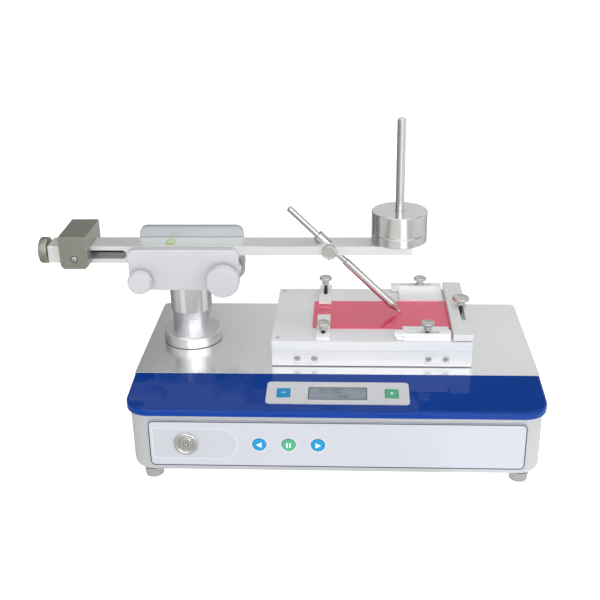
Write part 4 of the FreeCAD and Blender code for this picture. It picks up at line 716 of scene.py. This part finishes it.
OUTLINE_THICK, LINE_THICK, TINT_THICK = 0.06, 0.10, 0.04
shape = bmesh.new()
slab(shape, film_outline(0.6, 5), on_fascia(face_mid.x, face_mid.z), *FRONT, OUTLINE_THICK,
     hole=film_outline(3.0, 3.9))
finish_piece("fascia_outline", shape, INK_GREY, "base")

FIELD_FROM_LEFT, FIELD_FROM_MIDDLE, FIELD_HEIGHT, FIELD_Z = 4.0, 98.1, 34.0, 44.6
field_left, field_right = face_low.x + FIELD_FROM_LEFT, face_mid.x - FIELD_FROM_MIDDLE
field_spot = on_fascia((field_left + field_right) / 2, FIELD_Z)


def field(grow):
    """A band with square corners at its left end and a half round at its right end."""
    half, radius = (field_right - field_left) / 2 + grow, FIELD_HEIGHT / 2 + grow
    round_end = [(half - radius + u, v) for u, v in arc(radius, -90, 90, 24)]
    return [(-half, -radius)] + round_end + [(-half, radius)]


HALF_LINE = 0.5
shape = bmesh.new()
slab(shape, field(HALF_LINE), field_spot, *FRONT, LINE_THICK, hole=field(-HALF_LINE))
finish_piece("fascia_embossed_line", shape, EMBOSS, "base")
shape = bmesh.new()
slab(shape, field(-HALF_LINE), field_spot, *FRONT, TINT_THICK)
finish_piece("fascia_field_tint", shape, FIELD, "base")

# %% [markdown]
# ## Signs on the round keys
# The three keys drive the table back, hold it and drive it on, with the usual signs of a player. Each sign
# rides on its key's own body, so it goes in with the key.

# %% Halos and signs
HALO_RADIUS, HALO_HOLE, SIGN_THICK, SIGN_SINK = 8.8, 7.2, 0.08, 0.02
KEY_BODIES = {"reverse_key": "reverse_push", "pause_key": "pause_push", "forward_key": "forward_push"}
PAUSE_BAR = (0.7, 2.6)
SIGNS = {
    "reverse_key": [[(2.3, 3.0), (-3.1, 0.0), (2.3, -3.0)]],
    "pause_key": [box_outline(*PAUSE_BAR, (-1.5, 0.0)), box_outline(*PAUSE_BAR, (1.5, 0.0))],
    "forward_key": [[(-2.3, -3.0), (3.1, 0.0), (-2.3, 3.0)]],
}
halos = bmesh.new()
for name in KEY_BODIES:
    mid = span(name)[2]
    slab(halos, circle(HALO_RADIUS), on_fascia(mid.x, mid.z), *FRONT, SIGN_THICK, hole=circle(HALO_HOLE))
finish_piece("key_halos", halos, EMBOSS, "base")
for name, outlines in SIGNS.items():
    low, _, mid = span(name)
    shape = bmesh.new()
    for outline in outlines:
        slab(shape, outline, (mid.x, low.y + SIGN_SINK, mid.z), *FRONT, SIGN_THICK)
    finish_piece(name + "_symbol", shape, INK_WHITE, KEY_BODIES[name])

# %% [markdown]
# ## Power button
# A metal push button has a domed bezel, a groove and a flat inner ring round its cap. All of that is one
# turned part, so it is one profile, spun round the button's axis. The cap carries a thin ring and the power
# sign, a ring that is open at the top with a stroke in the gap.

# %% Bezel and power sign
BEZEL = [(7.3, -7.5), (7.3, 1.3), (7.5, 1.5), (8.3, 1.5), (8.5, 1.2), (8.8, 1.2), (9.1, 1.7), (9.8, 2.05),
         (10.6, 2.2), (11.4, 2.0), (12.1, 1.5), (12.5, 0.7), (12.5, 0.05), (9.5, 0.02), (9.5, -23.9),
         (0.5, -23.9)]
STROKE, SIGN_RADIUS, RING_START, RING_END, SIGN_PRINT = 0.7, 2.7, 120, 420, 0.06
CAP_RING_RADIUS, CAP_RING_HOLE, CAP_RING_THICK = 5.6, 5.2, 0.05
button_mid = span("power_button_body")[2]
shape = bmesh.new()
turned(shape, (button_mid.x, face_low.y, button_mid.z), -Y_AXIS, BEZEL, steps=96)
finish_piece("power_button_bezel", shape, NICKEL, "base", ["power_button_body"])

cap_face = Vector((button_mid.x, span("power_button_cap")[0].y + SIGN_SINK, button_mid.z))
open_ring = arc(SIGN_RADIUS + STROKE / 2, RING_START, RING_END, 24)
open_ring += arc(SIGN_RADIUS - STROKE / 2, RING_END, RING_START, 24)
shape = bmesh.new()
slab(shape, open_ring, cap_face, *FRONT, SIGN_PRINT)
slab(shape, box_outline(STROKE / 2, 1.5, (0.0, 2.1)), cap_face, *FRONT, SIGN_PRINT)
finish_piece("power_symbol", shape, DARK_INK_AND_GAP_SHADE, "power_push")
shape = bmesh.new()
slab(shape, circle(CAP_RING_RADIUS), cap_face, *FRONT, CAP_RING_THICK, hole=circle(CAP_RING_HOLE))
finish_piece("power_cap_ring", shape, INK_GREY, "power_push")

# %% [markdown]
# ## Display plate
# The display and its two keys lie on the blue nose, which falls 6 mm over 66 mm towards the front. Their
# lines and figures could be made flat and tilted afterwards, but it is simpler to build them on two
# directions that lie in the slope.

# %% Places on the nose
NOSE_FALL, NOSE_DEPTH = 6, 66
slope = math.atan(NOSE_FALL / NOSE_DEPTH)
down_slope = Vector((0, -math.cos(slope), -math.sin(slope)))
SLOPE = (X_AXIS, -down_slope)
SEAM_GAP = 0.2
seam = Vector((span("display_plate")[2].x, span("top_cover")[0].y - SEAM_GAP, span("top_cover")[1].z))


def on_nose(right_of, down, lift):
    """A point so far right of the display's middle, so far down from the seam and so high over the slope."""
    return seam + X_AXIS * right_of + down_slope * down + X_AXIS.cross(-down_slope) * lift


print("the nose falls by", round(math.degrees(slope), 2), "degrees")

# %% [markdown]
# ## Border of the display plate
# A raised line runs round the whole plate, and a slate print frames the window. Each is a rounded rectangle
# with a hole, whose width, height and corner radius were taken from the photograph.

# %% Border and rim
DISPLAY_DOWN, BORDER_DOWN, PLATE_FACE, GLASS_FACE, KEY_FACE = 37.0, 35.55, 1.38, 0.99, 2.28
BORDER, BORDER_HOLE, BORDER_THICK = (141.8, 36.7, 3.7), (140.6, 35.5, 3.2), 0.08
RIM, RIM_HOLE, RIM_THICK = (58.9, 21.9, 1.2), (57.1, 20.1, 0.8), 0.10
shape = bmesh.new()
slab(shape, rounded(*BORDER), on_nose(0, BORDER_DOWN, PLATE_FACE), *SLOPE, BORDER_THICK,
     hole=rounded(*BORDER_HOLE))
finish_piece("display_border", shape, EMBOSS, "base")
shape = bmesh.new()
slab(shape, rounded(*RIM), on_nose(0, DISPLAY_DOWN, PLATE_FACE), *SLOPE, RIM_THICK,
     hole=rounded(*RIM_HOLE))
finish_piece("display_window_rim", shape, INK_GREY, "base")

# %% [markdown]
# ## Figures on the glass
# A liquid crystal shows figures of seven segments. The segments of a figure are named a to g, as in every
# data sheet, and a table says which are lit and where each lies, in half widths and half heights of the
# figure.

# %% Seven segments
LIT = {"0": "abcdef", "1": "bc", "2": "abged", "5": "afgcd", "8": "abcdefg"}
SEGMENTS = {"a": (0, 2, True), "g": (0, 0, True), "d": (0, -2, True), "b": (1, 1, False), "c": (1, -1, False),
            "f": (-1, 1, False), "e": (-1, -1, False)}
ROWS = (("0500", 2.0, -16.0, 4.6), ("128", 1.6, 0.0, -5.0))
HALF_STROKE, FIGURE_THICK = 0.24, 0.05
shape = bmesh.new()
for text, size, left, row_height in ROWS:
    for count, sign in enumerate(text):
        for segment in LIT[sign]:
            across, rise, flat = SEGMENTS[segment]
            spot = (left + count * size * 2.6 + across * size * 0.75, row_height + rise * size * 0.72)
            half = (size * 0.6, HALF_STROKE) if flat else (HALF_STROKE, size * 0.55)
            slab(shape, box_outline(*half, spot), on_nose(0, DISPLAY_DOWN, GLASS_FACE), *SLOPE,
                 FIGURE_THICK)
finish_piece("display_figures", shape, LCD_INK, "base")

# %% [markdown]
# ## Minus and plus keys
# The two keys beside the window carry a white minus and a white plus, and each has a pale frame on the
# plate. The plus is the bar of the minus with a short arm above and below it, set a hair apart, so that no
# faces lie in the same place.

# %% Signs and frames of the keys
KEY_OFFSET, BAR_LENGTH, BAR_WIDTH, BAR_RADIUS, ARM_LENGTH, ARM_OFFSET = 54.0, 4.4, 0.9, 0.3, 1.75, 1.33
KEY_FRAME, KEY_FRAME_HOLE, KEY_FRAME_THICK = (15.2, 16.8, 1.4), (13.9, 15.5, 1.0), 0.07
for name, offset, slot in (("minus", -KEY_OFFSET, "blue_key"), ("plus", KEY_OFFSET, "green_key")):
    shape = bmesh.new()
    spot = on_nose(offset, DISPLAY_DOWN, KEY_FACE)
    slab(shape, rounded(BAR_LENGTH, BAR_WIDTH, BAR_RADIUS, 2), spot, *SLOPE, SIGN_THICK)
    if name == "plus":
        for rise in (ARM_OFFSET, -ARM_OFFSET):
            slab(shape, rounded(BAR_WIDTH, ARM_LENGTH, BAR_RADIUS, 2, (0, rise)), spot, *SLOPE, SIGN_THICK)
    finish_piece(name + "_symbol", shape, INK_WHITE, name + "_push")
    shape = bmesh.new()
    slab(shape, rounded(*KEY_FRAME), on_nose(offset, DISPLAY_DOWN, PLATE_FACE), *SLOPE, KEY_FRAME_THICK,
         hole=rounded(*KEY_FRAME_HOLE))
    finish_piece(name + "_key_frame", shape, EMBOSS, "base")

# %% [markdown]
# ## Thumbscrews
# A thumbscrew is turned from one bar: a threaded shank, a seat that presses on the clamp, a neck, and a
# thin wide head whose rim is knurled for the fingers. A straight knurl is two rings of vertices that go in
# and out. The shank's thread is drawn as plain grooves, because its slant doesn't show at this size, and
# its faces take the second material.

# %% Upright thumbscrews
HEAD_THICK, SEAT_BELOW_TOP, SHANK_RADIUS, GROOVE, GROOVE_STEP = 3.6, 8.6, 1.9, 0.25, 0.35
TEETH, TOOTH_DEPTH, RIM_STEPS = 40, 0.28, 120


def thumb_head(name, radius, body):
    """A knurled head on a neck, a seat and a threaded shank, in place of the plain solid."""
    low, high, mid = span(name)
    total = high.z - low.z
    head, seat = total - HEAD_THICK, total - SEAT_BELOW_TOP
    foot = Vector((mid.x, mid.y, low.z))
    grooves = range(int((seat - 0.4) / GROOVE_STEP))
    shank = [(SHANK_RADIUS - GROOVE * (k % 2), 0.2 + k * GROOVE_STEP) for k in grooves]
    shape = bmesh.new()
    turned(shape, foot, Z_AXIS,
           [(1.5, 0.0)] + shank +
           [(SHANK_RADIUS, seat), (4.2, seat), (4.2, seat + 1.5), (2.9, seat + 2.2), (2.7, head - 1.4),
            (radius - 1.6, head - 0.1), (radius - 0.3, head + 0.3), (radius, head + 0.6),
            (radius, total - 0.7), (radius - 0.7, total - 0.1), (radius - 1.6, total),
            (radius - 2.2, total - 0.15), (0.4, total - 0.15)], steps=RIM_STEPS)
    knurled(shape, foot, Z_AXIS, TEETH, TOOTH_DEPTH, head + 0.5, total - 0.6)
    for face in shape.faces:
        offset = face.calc_center_median() / MM - foot
        if math.hypot(offset.x, offset.y) < SHANK_RADIUS + 0.1 and offset.z < seat:
            face.material_index = 1
    finish_piece(name + "_head", shape, NICKEL, body, [name], second=THREAD)


for place in ("front_strap", "rear_strap", "front_guide", "rear_guide"):
    thumb_head(place + "_thumbscrew", 7.2, place + "_screw")
thumb_head("end_bar_thumbscrew", 9.2, "end_bar_screw")

# %% [markdown]
# ## Thumbscrew of the stylus
# This screw lies flat at the front of the beam and clamps the stylus rod. Its head is a shallow dish with the
# same knurl as the others, and hides its shank, so the shank is plain.

# %% The stylus thumbscrew
low, high, mid = span("stylus_thumbscrew")
length = high.y - low.y
back = Vector((mid.x, high.y, mid.z))
shape = bmesh.new()
turned(shape, back, -Y_AXIS,
       [(1.9, 0.0), (1.9, length - 6.6), (6.0, length - 6.5), (7.6, length - 5.2), (7.8, length - 4.9),
        (7.8, length - 0.9), (7.0, length - 0.1), (5.8, length), (5.5, length - 0.25), (0.4, length - 0.25)],
       steps=RIM_STEPS)
knurled(shape, back, -Y_AXIS, TEETH, TOOTH_DEPTH, length - 5.0, length - 0.8)
finish_piece("stylus_thumbscrew_head", shape, NICKEL, "stylus_clamp", ["stylus_thumbscrew"])

# %% [markdown]
# ## Tail knob
# The knob at the tail turns the screw that moves the counterweight along the beam. It is a short cylinder
# with rounded rims, a finer knurl and a shallow recess in its end. A cylinder with bevelled edges would
# come close, but the profile holds the two rim radii and the recess in one line.

# %% The tail knob
_, high, mid = span("tail_knob")
KNOB_TEETH, KNOB_TOOTH_DEPTH, KNOB_STEPS, KNURL_FROM, KNURL_TO = 72, 0.25, 216, 1.0, 8.3
knob_seat = Vector((high.x, mid.y, mid.z))
shape = bmesh.new()
turned(shape, knob_seat, -X_AXIS,
       [(13.0, 0.0), (14.0, 0.6), (14.2, 1.1), (14.2, 8.2), (13.9, 8.8), (13.0, 9.5), (9.5, 9.5), (9.2, 9.1),
        (0.5, 9.1)], steps=KNOB_STEPS)
knurled(shape, knob_seat, -X_AXIS, KNOB_TEETH, KNOB_TOOTH_DEPTH, KNURL_FROM, KNURL_TO)
finish_piece("tail_knob_knurled", shape, BLOCK, "tail_turn", ["tail_knob"])

# %% [markdown]
# ## Thread of the tail screw
# Part of this screw is in view at the beam's tail, so its thread is real geometry. A profile could be swept
# along a helix, but the ends are hard to close. Instead a smooth bar is turned with many rings, and each
# vertex is pulled in by a wave that climbs one pitch for each turn, which is what a thread is.

# %% The tail screw's thread
PITCH_LENGTH, CREST_RADIUS, THREAD_DEPTH, THREAD_STEPS, RINGS_PER_PITCH = 2.0, 2.98, 0.42, 20, 8
COLLAR = [(3.0, -0.3), (5.6, -0.2), (6.0, 0.1), (6.0, 1.5), (5.6, 1.9)]
low, high, mid = span("tail_screw")
thread_start = Vector((low.x + COLLAR[-1][1], mid.y, mid.z))
thread_length = high.x - thread_start.x
rings = int(thread_length / PITCH_LENGTH * RINGS_PER_PITCH)
shape = bmesh.new()
turned(shape, thread_start, X_AXIS, [(CREST_RADIUS, thread_length * k / rings) for k in range(rings + 1)],
       steps=THREAD_STEPS)
for vertex in shape.verts:
    offset = vertex.co / MM - thread_start
    turn = math.atan2(offset.z, offset.y) / (2 * math.pi) % 1.0
    wave = abs((offset.x / PITCH_LENGTH + turn) % 1.0 * 2 - 1)
    vertex.co -= Vector((0, offset.y, offset.z)).normalized() * THREAD_DEPTH * wave * MM
turned(shape, thread_start, -X_AXIS, COLLAR, steps=48)
finish_piece("tail_screw_threaded", shape, SLOT_SHADE_STEEL, "tail_turn", ["tail_screw"])

# %% [markdown]
# ## Counterweight nut
# A nut is pressed into the counterweight and shows at its front as a bright round end in a dark gap. The
# gap's shade is painted on a thin ring in dark ink, because a real gap is too narrow to render dark.

# %% The nut's end and gap
NUT_RADIUS, GAP_RADIUS, GAP_THICK = 3.0, 4.0, 0.05
low, _, mid = span("counterweight_nut")
shape = bmesh.new()
turned(shape, (mid.x, low.y, mid.z), -Y_AXIS,
       [(NUT_RADIUS, -0.5), (NUT_RADIUS, 0.3), (2.6, 0.52), (0.3, 0.55)], steps=48)
finish_piece("counterweight_nut_face", shape, NICKEL, "balance")
shape = bmesh.new()
# Painted shade: a thin dark ring stands for the shade in the gap round the nut.
slab(shape, circle(GAP_RADIUS), (mid.x, low.y + SINK, mid.z), *FRONT, GAP_THICK, hole=circle(NUT_RADIUS))
finish_piece("counterweight_nut_gap", shape, DARK_INK_AND_GAP_SHADE, "balance")

# %% [markdown]
# ## Screws of the table
# Two pads on the table's apron are held by two socket screws each, and two more sit flush in the plate. A
# low head with a hexagon cut into it reads as a screw even at a few pixels, once a dark rim and a dark
# hexagon are added: painted shade in the gap round the head and in its socket. The pale line round each pad
# is painted shade in its seam.

# %% Screw heads, rims, sockets and pads
HEAD_RADIUS, HEAD_RISE, HEX_RADIUS, RIM_RADIUS = 2.4, 0.6, 1.1, 3.0
FLUSH_RADIUS, FLUSH_RISE, FLUSH_HEX = 2.1, 0.3, 0.8
PAD_WIDTH, PAD_HEIGHT, PAD_LINE, PAD_THICK, PAD_LEFTS = 25.0, 11.0, 0.4, 0.04, (23.5, 48.5)
RING_THICK, SOCKET_THICK, FLUSH_SOCKET_THICK, HEX_PLAY = 0.05, 0.05, 0.04, 0.02


def socket_head(shape, start, axis, radius, rise, hex_radius):
    """A low screw head with a socket sunk into it."""
    turned(shape, start, axis,
           [(radius, 0.02), (radius, rise * 0.7), (radius - 0.3, rise), (hex_radius + 0.15, rise),
            (hex_radius, rise - 0.1), (hex_radius, 0.05)], steps=36)


apron_low, _, apron_mid = span("table_apron")
plate_low, plate_high, _ = span("table_plate")
heads, holes, rims, pads = bmesh.new(), bmesh.new(), bmesh.new(), bmesh.new()
for left in (plate_low.x + PAD_LEFTS[0], plate_high.x - PAD_LEFTS[1]):
    pad_spot = (left + PAD_WIDTH / 2, apron_low.y + SINK, apron_mid.z)
    slab(pads, rounded(PAD_WIDTH, PAD_HEIGHT, 1.6), pad_spot, *FRONT, PAD_THICK,
         hole=rounded(PAD_WIDTH - 2 * PAD_LINE, PAD_HEIGHT - 2 * PAD_LINE, 1.2))
    for share in (0.15, 0.85):
        spot = Vector((left + PAD_WIDTH * share, apron_low.y, apron_mid.z))
        socket_head(heads, spot, -Y_AXIS, HEAD_RADIUS, HEAD_RISE, HEX_RADIUS)
        slab(rims, circle(RIM_RADIUS), spot + Y_AXIS * SINK, *FRONT, RING_THICK, hole=circle(HEAD_RADIUS))
        slab(holes, circle(HEX_RADIUS - HEX_PLAY, 6), spot - Y_AXIS * 0.03, *FRONT, SOCKET_THICK)
for y in (plate_low.y + 9, plate_high.y - 8):
    spot = Vector((plate_low.x + 6.5, y, plate_high.z))
    socket_head(heads, spot, Z_AXIS, FLUSH_RADIUS, FLUSH_RISE, FLUSH_HEX)
    slab(holes, circle(FLUSH_HEX - HEX_PLAY, 6), spot + Z_AXIS * 0.02, *TOP, FLUSH_SOCKET_THICK)
finish_piece("table_screw_heads", heads, SCREW, "table", ["table_screws"])
# The sockets, the rims and the pad outlines are painted shade in recesses and seams.
finish_piece("table_screw_sockets", holes, HOLE, "table")
finish_piece("table_screw_rims", rims, HOLE, "table")
finish_piece("apron_pad_outlines", pads, PALE, "table")

# %% [markdown]
# ## Foot of the column
# Where the column's flange meets the lid, the photograph shows a dark line, as a narrow gap gives. So narrow
# a gap would vanish in the render, so a thin dark ring that stands a tenth of a millimetre proud of the
# flange draws it.

# %% The line under the flange
LINE_PROUD, LINE_HEIGHT, LINE_WIDTH, FLANGE_STEPS = 0.12, 0.7, 0.8, 72
low, high, mid = span("column_socket")
flange_radius = (high.x - low.x) / 2
shape = bmesh.new()
slab(shape, circle(flange_radius + LINE_PROUD, FLANGE_STEPS), (mid.x, mid.y, low.z + 0.02), *TOP, LINE_HEIGHT,
     hole=circle(flange_radius - LINE_WIDTH, FLANGE_STEPS))
finish_piece("flange_foot_gap", shape, HOLE, "base")

# %% [markdown]
# ## Bubble level
# The level in the top of the beam is a low dome of glass over green spirit. Its outline is an oval, so the
# dome is spun round and then stretched along y about its own middle. The bubble is a second, smaller dome
# on it.

# %% Glass and bubble
PROUD, OVER_X, OVER_Y = 0.8, 0.9, 3.2
low, high, mid = span("bubble_level")
half_x, half_y = (high.x - low.x) / 2 + OVER_X, (high.y - low.y) / 2 + OVER_Y
dome = [(half_x, 0.03), (half_x - 0.1, 0.35), (half_x - 0.9, 0.62), (half_x - 2.4, 0.78), (0.2, 0.85)]
shape = bmesh.new()
turned(shape, (mid.x, mid.y, high.z - PROUD), Z_AXIS, dome, steps=48)
bmesh.ops.scale(shape, vec=(1, half_y / half_x, 1), space=Matrix.Translation(-mid * MM), verts=shape.verts)
finish_piece("level_vial", shape, VIAL, "beam", ["bubble_level"])
shape = bmesh.new()
turned(shape, (mid.x + 1.2, mid.y - 2.4, high.z - 0.02), Z_AXIS,
       [(2.2, 0.0), (2.0, 0.08), (1.2, 0.12), (0.1, 0.13)], steps=24)
finish_piece("level_bubble", shape, BUBBLE, "beam")

# %% [markdown]
# ## Set screw of the stylus
# The stylus leans back by 45 degrees. A small set screw low on the front of its holder clamps the hard tip,
# so that a worn one can be changed. It sits 19 mm up the holder from the point where the tip touches the
# panel.

# %% The set screw
UP_THE_HOLDER, HOLDER_FRONT = 19.0, 4.4
tip_low, tip_high, tip_mid = span("stylus_tip")
lean = Vector((-1, 0, 1)).normalized()
touch = Vector((tip_high.x, tip_mid.y, tip_low.z))
shape = bmesh.new()
turned(shape, touch + lean * UP_THE_HOLDER - Y_AXIS * HOLDER_FRONT, -Y_AXIS,
       [(1.4, -0.4), (1.4, 0.15), (1.2, 0.35), (0.7, 0.35), (0.65, 0.1)], steps=24)
finish_piece("stylus_set_screw", shape, NICKEL, "stylus")
